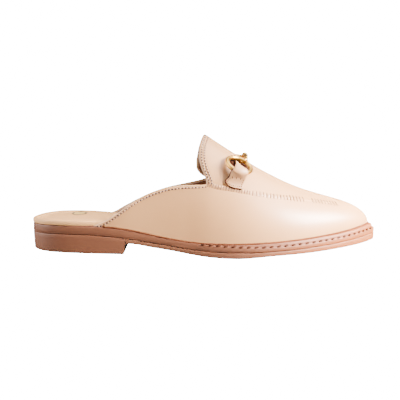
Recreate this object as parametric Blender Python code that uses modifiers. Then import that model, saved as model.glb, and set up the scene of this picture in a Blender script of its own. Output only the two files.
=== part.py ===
# Flat backless loafer, right shoe, standing empty on its sole.
# Metres, +X to the toe, +Y to the medial side, +Z up, floor at z = 0.
# Tables are in millimetres: s runs from the heel back to the toe tip, z up from the floor.
import math

import bmesh
import bpy
from mathutils import Matrix, Vector

for old in list(bpy.data.objects):
    bpy.data.objects.remove(old, do_unlink=True)

# Driving sizes, millimetres
ORIGIN_S = 134.0
ORIGIN_Y = 0.6
PIECE_GAP = 0.3
UPPER_WALL = 2.0
SEAM_RISE = 0.7
SEAM_TIP_Z = 34.5
NOTCH_S = 135.2
SPLIT_S = 175.0
SPINE_END_S = 240.0
HEEL_FRONT_S = 74.0
OUTSOLE_BACK_S = 74.35
BIT_S = 158.0
BIT_Z = 65.8
MEDIAL_DROP = 1.6
RING_RADIUS = 9.5
WIRE_RADIUS = 1.6
RING_LIFT = 4.0
RING_TILT = math.radians(12.0)
EYE_RADIUS = 3.05
EYE_WIRE = 0.7
EYE_ANGLE = math.radians(63.0)
EYE_TURN = math.radians(38.0)
BAR_RADIUS = 1.9
RIDGE_BAR_S = 165.1
TAB_THICK = 1.3
TAB_GAP = 0.35
SHIELD_GAP = 0.7

# Outer edge of the sole in plan: s, y, from the heel back round the lateral side to the tip
LATERAL_EDGE = (
    (-1.0, 2.0), (-0.1, -5.0), (2.2, -11.6), (7.2, -19.2), (15.4, -25.4), (30.0, -29.6),
    (50.0, -31.6), (70.0, -32.6), (88.0, -33.0), (104.0, -34.6), (120.0, -37.4), (140.0, -42.0),
    (158.0, -44.8), (175.0, -45.2), (190.0, -43.4), (205.0, -39.6), (220.0, -33.9),
    (235.0, -26.0), (247.6, -17.6), (257.4, -9.0), (264.6, -0.4), (268.9, 5.8),
)
# The same edge from the tip back round the medial side to the heel
MEDIAL_EDGE = (
    (270.6, 11.8), (269.3, 17.4), (264.8, 23.4), (257.6, 29.0), (248.0, 34.2), (236.0, 39.0),
    (222.0, 43.0), (207.0, 45.7), (192.0, 46.4), (176.0, 44.6), (160.0, 39.2), (142.0, 32.4),
    (124.0, 27.6), (106.0, 26.2), (88.0, 27.2), (70.0, 29.2), (50.0, 30.6), (30.0, 30.6),
    (15.4, 27.6), (7.2, 22.6), (2.2, 15.8), (-0.1, 9.2),
)
# Heights of the sole's levels: s, z
MIDSOLE_TOP = (
    (-2.3, 20.2), (19.7, 20.8), (51.7, 21.0), (63.7, 20.2), (75.7, 18.7), (87.7, 16.5),
    (98.8, 14.3), (109.8, 12.4), (121.8, 10.9), (133.9, 10.2), (149.9, 10.3), (167.8, 11.0),
    (184.8, 12.0), (205.8, 13.7), (220.8, 15.1), (239.8, 17.1), (254.7, 19.1), (270.7, 21.2),
)
MIDSOLE_FOOT = (
    (-2.2, 13.9), (23.8, 14.5), (41.8, 14.6), (55.8, 14.1), (68.8, 13.0), (81.8, 11.4),
    (93.9, 9.6), (109.9, 7.6), (121.9, 6.2), (135.9, 5.1), (149.9, 4.8), (167.9, 5.1),
    (184.9, 6.1), (205.9, 7.6), (221.9, 9.0), (237.9, 10.5), (254.8, 12.5), (270.8, 14.5),
)
OUTSOLE_FOOT = (
    (74.0, 4.6), (75.0, 5.9), (76.5, 7.0), (78.5, 7.8), (81.0, 8.0), (84.0, 7.7), (92.0, 6.3),
    (102.0, 5.0), (112.0, 3.6), (122.0, 2.1), (131.0, 1.0), (138.0, 0.4), (144.0, 0.1),
    (148.0, 0.0), (158.0, 0.0), (162.0, 0.2), (168.0, 0.7), (176.0, 1.5), (185.0, 2.4),
    (194.0, 3.0), (203.0, 3.5), (213.0, 4.1), (223.0, 4.8), (233.0, 5.6), (243.0, 6.4),
    (253.0, 7.2), (263.0, 8.1), (271.0, 8.9),
)
# Inset of the upper's foot from the sole edge, and of the footbed: s, inset
FEATHER_INSET = (
    (0.0, 0.9), (60.0, 0.9), (100.0, 1.0), (125.0, 1.5), (150.0, 2.4), (180.0, 3.4),
    (205.0, 3.8), (235.0, 4.4), (258.0, 5.6), (271.0, 6.6),
)
FOOTBED_INSET = (
    (-1.0, -0.4), (25.0, -0.4), (38.0, 0.3), (47.0, 1.6), (52.0, 3.4), (56.0, 3.8), (100.0, 3.9),
    (125.0, 4.4), (150.0, 5.3), (180.0, 6.4), (220.0, 7.4), (271.0, 10.6),
)
FOOTBED_THICK = (
    (-1.0, 3.4), (7.0, 4.0), (20.0, 4.3), (60.0, 4.1), (100.0, 3.9), (150.0, 3.7), (200.0, 3.4),
    (271.0, 3.0),
)
# Share of the welt's stepped edge, none at the heel and full from the ball: s, share
WELT_SHARE = ((0.0, 0.0), (120.0, 0.0), (150.0, 0.45), (185.0, 1.0), (270.0, 1.0))

# Ridge line along the top of the last: s, y, z
RIDGE = (
    (38.5, 2.0, 93.2), (98.5, 2.4, 94.6), (120.5, 2.8, 93.9), (132.6, 3.2, 90.9),
    (142.0, 3.5, 85.2), (154.8, 3.9, 77.2), (163.9, 4.2, 71.8), (174.0, 4.5, 65.7),
    (186.8, 5.0, 59.1), (199.6, 5.6, 53.1), (212.5, 6.3, 48.3), (225.3, 7.0, 44.6),
    (239.4, 7.8, 40.8), (251.4, 8.4, 37.4),
)
# Outward lean of the wall at its foot, lateral and medial: s, lateral, medial
WALL_LEAN = (
    (50.0, 1.0, 1.5), (80.0, 1.6, 3.6), (110.0, 2.0, 6.0), (135.0, 2.0, 5.0),
    (160.0, 1.6, 2.6), (200.0, 1.6, 1.6), (270.0, 1.4, 1.4),
)
# Topline of each wing: s, z
LATERAL_TOPLINE = (
    (54.6, 22.9), (60.6, 25.8), (69.0, 32.0), (77.6, 38.4), (88.0, 44.8), (98.3, 49.2),
    (108.5, 52.1), (120.6, 53.6), (130.2, 54.1), (135.2, 54.8),
)
MEDIAL_TOPLINE = (
    (52.6, 22.7), (59.6, 24.6), (69.5, 30.2), (79.4, 35.7), (91.4, 41.4), (104.3, 45.5),
    (118.2, 48.5), (127.2, 50.5), (132.2, 52.2), (135.2, 54.0),
)
# Back edge of the tongue on each side: z, s
LATERAL_TONGUE = (
    (54.8, 135.2), (59.0, 134.7), (62.0, 133.3), (67.0, 131.1), (72.1, 129.6), (76.1, 129.2),
    (82.2, 129.6), (85.7, 130.6), (88.5, 131.6), (91.0, 133.0),
)
MEDIAL_TONGUE = (
    (54.0, 135.2), (56.2, 132.1), (59.1, 129.2), (62.1, 127.2), (68.8, 127.0), (73.2, 127.7),
    (79.1, 128.7), (85.1, 130.4), (88.5, 131.6), (91.0, 133.0),
)
# Apron seam: s, z
APRON_SEAM = (
    (133.2, 54.8), (135.2, 54.8), (143.4, 52.9), (151.8, 51.7), (162.8, 49.7), (174.7, 47.7),
    (188.6, 45.6), (202.6, 43.8), (219.5, 41.3), (233.7, 38.9), (243.8, 36.7), (251.5, 34.4),
    (261.5, 30.8),
)

# Mesh density of the upper
WING_COLUMNS = 13
HOOP_STATIONS = (NOTCH_S, 141.2, 147.7, 154.8, 162.4, 168.6)
TOE_HOOPS = 20
WALL_ROWS = 7
APRON_ROWS = 8


def sample(table, s, column=1):
    """Smooth value of one column of a table at s."""
    n = len(table)
    if s <= table[0][0]:
        return table[0][column]
    if s >= table[-1][0]:
        return table[-1][column]
    k = 0
    while table[k + 1][0] < s:
        k += 1
    s0, s1 = table[k][0], table[k + 1][0]
    v0, v1 = table[k][column], table[k + 1][column]
    h = s1 - s0
    slope = (v1 - v0) / h
    m0 = slope
    m1 = slope
    if k > 0:
        back = (v0 - table[k - 1][column]) / (s0 - table[k - 1][0])
        m0 = 0.0 if back * slope <= 0.0 else 2.0 * back * slope / (back + slope)
    if k < n - 2:
        ahead = (table[k + 2][column] - v1) / (table[k + 2][0] - s1)
        m1 = 0.0 if ahead * slope <= 0.0 else 2.0 * ahead * slope / (ahead + slope)
    t = (s - s0) / h
    a = 2 * t ** 3 - 3 * t ** 2 + 1
    b = t ** 3 - 2 * t ** 2 + t
    c = -2 * t ** 3 + 3 * t ** 2
    d = t ** 3 - t ** 2
    return a * v0 + b * h * m0 + c * v1 + d * h * m1


def closed_spline(points, steps):
    """Closed smooth line through plan points, steps pieces between neighbours."""
    out = []
    n = len(points)
    for i in range(n):
        p0, p1 = points[i - 1], points[i]
        p2, p3 = points[(i + 1) % n], points[(i + 2) % n]
        knots = [0.0]
        for a, b in ((p0, p1), (p1, p2), (p2, p3)):
            knots.append(knots[-1] + math.sqrt(math.hypot(b[0] - a[0], b[1] - a[1])))
        t0, t1, t2, t3 = knots
        for k in range(steps):
            t = t1 + (t2 - t1) * k / steps
            point = []
            for axis in (0, 1):
                a1 = ((t1 - t) * p0[axis] + (t - t0) * p1[axis]) / (t1 - t0)
                a2 = ((t2 - t) * p1[axis] + (t - t1) * p2[axis]) / (t2 - t1)
                a3 = ((t3 - t) * p2[axis] + (t - t2) * p3[axis]) / (t3 - t2)
                b1 = ((t2 - t) * a1 + (t - t0) * a2) / (t2 - t0)
                b2 = ((t3 - t) * a2 + (t - t1) * a3) / (t3 - t1)
                point.append(((t2 - t) * b1 + (t - t1) * b2) / (t2 - t1))
            out.append(tuple(point))
    return out


STEPS = 14
EDGE = closed_spline(LATERAL_EDGE + MEDIAL_EDGE, STEPS)
TIP_INDEX = len(LATERAL_EDGE) * STEPS


def inset_edge(table):
    """The sole edge moved inward by a table of insets, split into two sides heel to tip."""
    n = len(EDGE)
    moved = []
    for i in range(n):
        x0, y0 = EDGE[i - 2]
        x1, y1 = EDGE[(i + 2) % n]
        length = math.hypot(x1 - x0, y1 - y0)
        d = sample(table, EDGE[i][0])
        moved.append((EDGE[i][0] - d * (y1 - y0) / length, EDGE[i][1] + d * (x1 - x0) / length))
    lateral = moved[: TIP_INDEX + 1]
    medial = [moved[0]] + moved[: TIP_INDEX - 1: -1]
    return lateral, medial


def along(line):
    """Running length at each point of a plan line."""
    run = [0.0]
    for a, b in zip(line, line[1:]):
        run.append(run[-1] + math.hypot(b[0] - a[0], b[1] - a[1]))
    return run


def at_length(line, run, length):
    """Point of a plan line at a running length."""
    k = 0
    while k < len(run) - 2 and run[k + 1] < length:
        k += 1
    t = (length - run[k]) / (run[k + 1] - run[k])
    t = min(max(t, 0.0), 1.0)
    a, b = line[k], line[k + 1]
    return a[0] + (b[0] - a[0]) * t, a[1] + (b[1] - a[1]) * t


def length_at(line, run, s):
    """Running length at which a plan line first reaches station s."""
    for k in range(len(line) - 1):
        if line[k][0] <= s <= line[k + 1][0]:
            t = (s - line[k][0]) / (line[k + 1][0] - line[k][0])
            return run[k] + (run[k + 1] - run[k]) * t
    return run[-1]


def place(s, y, z):
    """Table millimetres to shared frame metres."""
    return Vector(((s - ORIGIN_S) * 0.001, (y - ORIGIN_Y) * 0.001, z * 0.001))


FEATHER = {}
for side, line in zip(("lateral", "medial"), inset_edge(FEATHER_INSET)):
    FEATHER[side] = (line, along(line))


def column(side, s=None, share=None):
    """Four control points of one line up the last, from the feather to the ridge."""
    line, run = FEATHER[side]
    lean_column = 1 if side == "lateral" else 2
    if share is None:
        foot = at_length(line, run, length_at(line, run, s))
        top_s = s
    else:
        start = length_at(line, run, SPLIT_S)
        foot = at_length(line, run, start + (run[-1] - start) * share)
        top_s = SPLIT_S + (SPINE_END_S - SPLIT_S) * (1.66 * share - 0.66 * share ** 2)
    z0 = sample(MIDSOLE_TOP, foot[0]) + PIECE_GAP
    top = Vector((top_s, sample(RIDGE, top_s, 1), sample(RIDGE, top_s, 2)))
    slope = (sample(RIDGE, top_s + 1.5, 2) - sample(RIDGE, top_s - 1.5, 2)) / 3.0
    dx, dy = foot[0] - top.x, foot[1] - top.y
    reach = math.hypot(dx, dy)
    height = top.z + slope * dx - z0
    lean = sample(WALL_LEAN, foot[0], lean_column)
    fullness = 0.56 + 0.05 * min(max((foot[0] - 180.0) / 50.0, 0.0), 1.0)
    p0 = Vector((foot[0], foot[1], z0))
    p1 = p0 + Vector((lean * dx / reach, lean * dy / reach, fullness * height))
    p2 = top + fullness * Vector((dx, dy, slope * dx))
    return p0, p1, p2, top


def bezier(points, v):
    """Point on a column at v, 0 at the feather and 1 at the ridge."""
    p0, p1, p2, p3 = points
    w = 1.0 - v
    return w ** 3 * p0 + 3 * w * w * v * p1 + 3 * w * v * v * p2 + v ** 3 * p3


def v_where(points, height_at):
    """Share up a column at which its height meets height_at(s)."""
    low, high = 0.0, 1.0
    for _ in range(40):
        mid = 0.5 * (low + high)
        p = bezier(points, mid)
        if p.z < height_at(p.x):
            low = mid
        else:
            high = mid
    return 0.5 * (low + high)


def seam_share(side, points, share=None):
    """Share up a column at which the apron seam crosses it, levelled off round the toe."""
    drop = 0.0 if side == "lateral" else MEDIAL_DROP
    if share is None or share < 0.7:
        return v_where(points, lambda q: sample(APRON_SEAM, q)
                       - drop * min(max((200.0 - q) / 64.0, 0.0), 1.0))
    turn = column(side, share=0.7)
    z = bezier(turn, v_where(turn, lambda q: sample(APRON_SEAM, q))).z
    b = (share - 0.7) / 0.3
    level = z + (SEAM_TIP_Z - z) * (2.0 * b - b * b)
    return v_where(points, lambda q: level)


def tongue_station(side, v):
    """Station of the tongue's back edge at share v up the columns."""
    table = LATERAL_TONGUE if side == "lateral" else MEDIAL_TONGUE
    s = NOTCH_S
    for _ in range(24):
        s = 0.5 * s + 0.5 * sample(table, bezier(column(side, s), v).z)
    return s


def finish_mesh(name, bm, color, roughness, metallic=0.0, smooth=True):
    """Mesh object in the shared collection, normals outward, with its own material."""
    bmesh.ops.recalc_face_normals(bm, faces=bm.faces)
    mesh = bpy.data.meshes.new(name)
    bm.to_mesh(mesh)
    bm.free()
    obj = bpy.data.objects.new(name, mesh)
    MULE.objects.link(obj)
    dress(obj, color, roughness, metallic)
    for face in mesh.polygons:
        face.use_smooth = smooth
    return obj


def dress(obj, color, roughness, metallic):
    material = bpy.data.materials.new(obj.name + "_material")
    material.use_nodes = True
    shader = material.node_tree.nodes["Principled BSDF"]
    shader.inputs["Base Color"].default_value = (color[0], color[1], color[2], 1.0)
    shader.inputs["Roughness"].default_value = roughness
    shader.inputs["Metallic"].default_value = metallic
    obj.data.materials.clear()
    obj.data.materials.append(material)


MULE = bpy.data.collections.new("flat_mule")
bpy.context.scene.collection.children.link(MULE)

LEATHER = (0.70, 0.51, 0.37)
TAN = (0.36, 0.15, 0.07)
GOLD = (0.80, 0.60, 0.30)


# The closed upper: wings, wall and apron in one grid of columns up the last, then a real wall
# thickness inward. The tongue's back edge is the first hoop, the toe tip the last.
def seam_rows(side, points, v_seam):
    """Shares up one column from the feather to the ridge, a close pair at the seam."""
    run = (bezier(points, min(v_seam + 0.01, 1.0)) - bezier(points, v_seam)).length / 0.01
    step = min(0.8 / max(run, 1.0), 0.02)
    rows = [v_seam * (k / WALL_ROWS) for k in range(WALL_ROWS)]
    rows += [max(v_seam - step, 0.0), v_seam, v_seam + step]
    rows += [v_seam + step + (1.0 - v_seam - step) * k / APRON_ROWS for k in range(1, APRON_ROWS + 1)]
    return rows


SEAM_ROW = WALL_ROWS + 1
TOP_ROW = WALL_ROWS + 2 + APRON_ROWS
hoops = [("s", s) for s in HOOP_STATIONS] + [("share", k / TOE_HOOPS) for k in range(TOE_HOOPS + 1)]
bm = bmesh.new()
grid = {}
for i, (kind, value) in enumerate(hoops):
    last = i == len(hoops) - 1
    for side in ("lateral", "medial"):
        points = column(side, s=value) if kind == "s" else column(side, share=value)
        v_seam = seam_share(side, points, None if kind == "s" else value)
        for j, v in enumerate(seam_rows(side, points, v_seam)):
            if side == "medial" and (last or j == TOP_ROW):
                grid[side, i, j] = grid["lateral", i, j]
                continue
            if kind == "s" and j > SEAM_ROW:
                blend = min(max((value - NOTCH_S) / 33.0, 0.0), 1.0)
                back = (NOTCH_S - tongue_station(side, v)) * (1.0 - blend)
                back *= min((v - v_seam) / (0.04 * (1.0 - v_seam)), 1.0)
                shifted = column(side, s=value - back)
                p = bezier(shifted, v)
            else:
                p = bezier(points, v)
            if j == SEAM_ROW and i > 0:
                foot, top = points[0], points[3]
                out = Vector((foot.x - top.x, foot.y - top.y, 0.0)).normalized()
                p = p + SEAM_RISE * (0.7 * out + 0.7 * Vector((0.0, 0.0, 1.0)))
            grid[side, i, j] = bm.verts.new(place(p.x, p.y, p.z))
for side in ("lateral", "medial"):
    for i in range(len(hoops) - 1):
        for j in range(TOP_ROW):
            corners = []
            for key in ((i, j), (i + 1, j), (i + 1, j + 1), (i, j + 1)):
                vert = grid[side, key[0], key[1]]
                if vert not in corners:
                    corners.append(vert)
            bm.faces.new(corners)

# Wings, from the end at the footbed to the notch beside the tongue
for side, topline in (("lateral", LATERAL_TOPLINE), ("medial", MEDIAL_TOPLINE)):
    start = topline[0][0]
    wing = {}
    for i in range(WING_COLUMNS + 1):
        s = start + (NOTCH_S - start) * (i / WING_COLUMNS) ** 1.1
        if i == WING_COLUMNS:
            for j in range(SEAM_ROW + 1):
                wing[i, j] = grid[side, 0, j]
            continue
        points = column(side, s=s)
        v_top = v_where(points, lambda q: sample(topline, q))
        close = 1.0 - 0.8 / max((points[0] - bezier(points, v_top)).length, 1.6)
        shares = [k / WALL_ROWS for k in range(WALL_ROWS)] + [max(close, 0.9), 1.0]
        for j, share in enumerate(shares):
            p = bezier(points, v_top * share)
            wing[i, j] = bm.verts.new(place(p.x, p.y, p.z))
    for i in range(WING_COLUMNS):
        for j in range(SEAM_ROW):
            bm.faces.new((wing[i, j], wing[i + 1, j], wing[i + 1, j + 1], wing[i, j + 1]))

upper = finish_mesh("upper", bm, LEATHER, 0.38)
inside = upper.data.polygons[0].normal.dot(Vector((0.0, -1.0, 0.0))) < 0.0
wall = upper.modifiers.new("wall", "SOLIDIFY")
wall.thickness = UPPER_WALL * 0.001
wall.offset = 1.0 if inside else -1.0
wall.use_even_offset = True
wall.use_rim = True


# Stacks of edge loops shared by the footbed and the sole's layers
def stack(name, inset_table, levels, s_back=None, s_front=None, count=40, color=TAN, rough=0.5):
    """Solid from loops of the sole edge. Each level is an extra inset table and a height table."""
    bm = bmesh.new()
    loops = []
    for extra, height, end in levels:
        table = [(s, sample(inset_table, s) + sample(extra, s)) for s in range(-4, 277, 4)]
        rings = {}
        for side, line in zip(("lateral", "medial"), inset_edge(table)):
            run = along(line)
            low = 0.0 if s_back is None else length_at(line, run, s_back)
            high = run[-1] if s_front is None else length_at(line, run, end)
            ring = []
            for k in range(count + 1):
                t = k / count
                if s_back is not None:
                    t = 0.35 * t + 0.65 * (1.0 - (1.0 - t) ** 1.7)
                elif s_front is not None:
                    t = t ** 1.25
                else:
                    t = 0.4 * t + 0.6 * (0.5 - 0.5 * math.cos(math.pi * t))
                x, y = at_length(line, run, low + (high - low) * t)
                ring.append(bm.verts.new(place(x, y, height(x))))
            rings[side] = ring
        for k in (0, count):
            joined = (k == 0 and s_back is None) or (k == count and s_front is None)
            if joined:
                bm.verts.remove(rings["medial"][k])
                rings["medial"][k] = rings["lateral"][k]
        loops.append(rings)
    for below, above in zip(loops, loops[1:]):
        for side in ("lateral", "medial"):
            for k in range(count):
                bm.faces.new((below[side][k], below[side][k + 1], above[side][k + 1], above[side][k]))
        for k, open_end in ((0, s_back is not None), (count, s_front is not None)):
            if open_end:
                bm.faces.new((below["lateral"][k], below["medial"][k],
                              above["medial"][k], above["lateral"][k]))
    for cap in (loops[0], loops[-1]):
        for k in range(count):
            corners = []
            for vert in (cap["lateral"][k], cap["lateral"][k + 1],
                         cap["medial"][k + 1], cap["medial"][k]):
                if vert not in corners:
                    corners.append(vert)
            bm.faces.new(corners)
    return finish_mesh(name, bm, color, rough)


def flat(value):
    return ((0.0, value), (272.0, value))


NONE = flat(0.0)


def welt_mix(plain, stepped):
    """Table that runs from a plain edge at the heel to the stepped edge of the welt."""
    return tuple((s, plain + (stepped - plain) * sample(WELT_SHARE, s)) for s in range(0, 277, 6))


def above_foot(plain, stepped):
    """Height table for the midsole wall, as a share of the band plus the welt's steps."""
    def height(s):
        low, high = sample(MIDSOLE_FOOT, s), sample(MIDSOLE_TOP, s)
        share = sample(WELT_SHARE, s)
        return low + (high - low) * (plain + (stepped - plain) * share)
    return height


# Footbed: a padded slab with a rounded rim and a shallow seat
def footbed_level(rise, seat=0.0):
    def height(s):
        thick = sample(FOOTBED_THICK, s)
        fade = min(max((70.0 - s) / 40.0, 0.25), 1.0)
        return sample(MIDSOLE_TOP, s) + PIECE_GAP + rise * thick - seat * fade
    return height


insole = stack("insole", FOOTBED_INSET, (
    (flat(0.5), footbed_level(0.0), 0.0),
    (NONE, footbed_level(0.14), 0.0),
    (NONE, footbed_level(0.60), 0.0),
    (flat(0.5), footbed_level(0.82), 0.0),
    (flat(1.5), footbed_level(0.96), 0.0),
    (flat(2.8), footbed_level(1.0), 0.0),
    (flat(5.0), footbed_level(1.0, 0.5), 0.0),
    (flat(8.0), footbed_level(1.0, 1.0), 0.0),
), color=(0.74, 0.57, 0.42), rough=0.5)

# Midsole band: plain at the heel, a stepped and lipped welt from the ball to the toe
midsole = stack("midsole", NONE, (
    (flat(0.45), above_foot(0.0, 0.0), 0.0),
    (NONE, above_foot(0.08, 0.08), 0.0),
    (NONE, above_foot(0.84, 0.60), 0.0),
    (welt_mix(0.25, 0.45), above_foot(0.95, 0.68), 0.0),
    (welt_mix(0.5, 1.3), above_foot(0.985, 0.69), 0.0),
    (welt_mix(0.7, 1.7), above_foot(1.0, 0.86), 0.0),
    (welt_mix(0.9, 2.6), above_foot(1.0, 1.0), 0.0),
))


# Outsole: the thin layer from the heel breast to the toe, its underside hollowed at the breast
def outsole_level(gap, from_top):
    def height(s):
        low = sample(OUTSOLE_FOOT, s)
        high = sample(MIDSOLE_FOOT, s) - PIECE_GAP
        return high - gap if from_top else low + gap
    return height


outsole = stack("outsole", NONE, (
    (flat(0.9), outsole_level(0.0, False), 0.0),
    (flat(0.3), outsole_level(0.2, False), 0.0),
    (flat(0.1), outsole_level(0.7, False), 0.0),
    (NONE, outsole_level(0.6, True), 0.0),
    (flat(0.4), outsole_level(0.0, True), 0.0),
), s_back=OUTSOLE_BACK_S)


# Heel block: top level with the groove line, sides drawn in to the floor, front face hollowed
def heel_level(share):
    def height(s):
        return (sample(MIDSOLE_FOOT, s) - PIECE_GAP) * share
    return height


heel = stack("heel", NONE, (
    (flat(1.5), heel_level(0.0), 71.8),
    (flat(1.0), heel_level(0.04), 72.6),
    (flat(0.8), heel_level(0.14), 73.0),
    (flat(0.5), heel_level(0.4), 73.7),
    (flat(0.2), heel_level(0.75), HEEL_FRONT_S),
    (NONE, heel_level(0.96), HEEL_FRONT_S),
    (flat(0.4), heel_level(1.0), HEEL_FRONT_S),
), s_front=HEEL_FRONT_S, count=26)


# Seat of the bit on each side of the ridge: origin on the upper and three directions
def surface_at(side, s, z):
    points = column(side, s=s)
    return bezier(points, v_where(points, lambda q: z))


def seat(side, s, z):
    """Origin, direction to the toe, direction down the side, and outward normal."""
    here = surface_at(side, s, z)
    ahead = surface_at(side, s + 6.0, z - 3.7)
    below = surface_at(side, s, z - 4.0)
    above = surface_at(side, s, z + 3.0)
    down = (below - above).normalized()
    toe = (ahead - here)
    toe = (toe - toe.dot(down) * down).normalized()
    normal = toe.cross(down) if side == "medial" else down.cross(toe)
    normal.normalize()
    return here, toe, down, normal


def turned(origin, x_axis, z_axis):
    """Transform to a place on the shoe, its origin in table millimetres."""
    matrix = Matrix((x_axis, z_axis.cross(x_axis), z_axis)).transposed().to_4x4()
    matrix.translation = place(*origin)
    return matrix


def wire_ring(name, matrix, major, minor, around, across):
    """Ring of round wire in the first two axes of a transform."""
    bpy.ops.mesh.primitive_torus_add(major_radius=major * 0.001, minor_radius=minor * 0.001,
                                     major_segments=around, minor_segments=across)
    obj = bpy.context.object
    obj.name = name
    obj.data.name = name
    obj.data.transform(matrix)
    obj.data.shade_smooth()
    for collection in list(obj.users_collection):
        collection.objects.unlink(obj)
    MULE.objects.link(obj)
    dress(obj, GOLD, 0.18, 1.0)
    return obj


def round_rod(name, path, radii, bevel_steps):
    """Closed rod of changing radius along table points, from a bevelled curve."""
    curve = bpy.data.curves.new(name, "CURVE")
    curve.dimensions = "3D"
    curve.bevel_depth = 0.001
    curve.bevel_resolution = bevel_steps
    curve.use_fill_caps = True
    spline = curve.splines.new("POLY")
    spline.points.add(len(path) - 1)
    for knot, point, radius in zip(spline.points, path, radii):
        knot.co = (*place(*point), 1.0)
        knot.radius = radius
    holder = bpy.data.objects.new(name + "_curve", curve)
    MULE.objects.link(holder)
    bpy.context.view_layer.update()
    depsgraph = bpy.context.evaluated_depsgraph_get()
    swept = bpy.data.meshes.new_from_object(holder.evaluated_get(depsgraph))
    bpy.data.objects.remove(holder, do_unlink=True)
    bm = bmesh.new()
    bm.from_mesh(swept)
    bpy.data.meshes.remove(swept)
    bmesh.ops.remove_doubles(bm, verts=bm.verts, dist=0.000001)
    return finish_mesh(name, bm, GOLD, 0.18, 1.0)


def over_ridge(s, y):
    """Height of the upper's outside near the ridge at plan point s, y."""
    side = "lateral" if y < sample(RIDGE, s, 1) else "medial"
    points = column(side, s=s)
    low, high = 0.0, 1.0
    for _ in range(40):
        mid = 0.5 * (low + high)
        p = bezier(points, mid)
        further = p.y < y if side == "lateral" else p.y > y
        if further:
            low = mid
        else:
            high = mid
    return bezier(points, 0.5 * (low + high)).z


CUTTERS = bpy.data.collections.new("tools")
bpy.context.scene.collection.children.link(CUTTERS)
CUTTERS.hide_render = True

# Link: a short barrel between the two bars, on the crown of the ridge
BAR_CLEARANCE = 0.9
LINK_OVER_RIDGE = 3.0
LINK_HALF = 3.05
# offset from the ridge, radius
LINK_PROFILE = (
    (-LINK_HALF, 1.7), (-2.6, 2.2), (-1.2, 2.5), (0.0, 2.6), (1.2, 2.5), (2.6, 2.2), (LINK_HALF, 1.7),
)
ridge_y = sample(RIDGE, RIDGE_BAR_S, 1)
link_z = max(sample(RIDGE, RIDGE_BAR_S, 2) + LINK_OVER_RIDGE,
             over_ridge(RIDGE_BAR_S, ridge_y) + BAR_RADIUS + BAR_CLEARANCE)
barrel = [Vector((RIDGE_BAR_S, ridge_y + offset, link_z)) for offset, radius in LINK_PROFILE]
round_rod("centre_link", barrel, [radius for offset, radius in LINK_PROFILE], 5)

# Tab, a folded strap with a lopsided shield. Shield rows: millimetres down the side from the
# bit's seat, left edge, right edge, rise off the skin. Fold rows: degrees round the wire, left
# edge, right edge.
SHIELD = (
    (18.9, -1.6, 3.6, 0.0), (18.6, -2.8, 4.4, 0.0), (17.9, -4.9, 4.8, 0.0), (17.0, -6.5, 4.9, 0.05),
    (16.0, -7.8, 4.9, 0.25), (15.2, -8.6, 4.9, 0.6), (14.6, -8.8, 5.0, 1.0), (14.0, -8.4, 5.1, 1.6),
    (13.2, -7.6, 5.2, 2.6), (12.4, -7.1, 5.3, 3.8),
)
FOLD = (
    (-10.0, -6.9, 5.4), (12.0, -6.5, 5.6), (34.0, -5.9, 5.6), (56.0, -5.3, 5.4), (78.0, -4.9, 5.0),
    (100.0, -4.8, 4.6), (124.0, -5.1, 4.4), (148.0, -5.3, 4.4), (174.0, -5.2, 4.5),
    (202.0, -5.0, 4.6), (228.0, -4.9, 4.7),
)
TAB_COLUMNS = 5
BAR_PIECES = 10
BAR_START_RADIUS = 0.9

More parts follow.
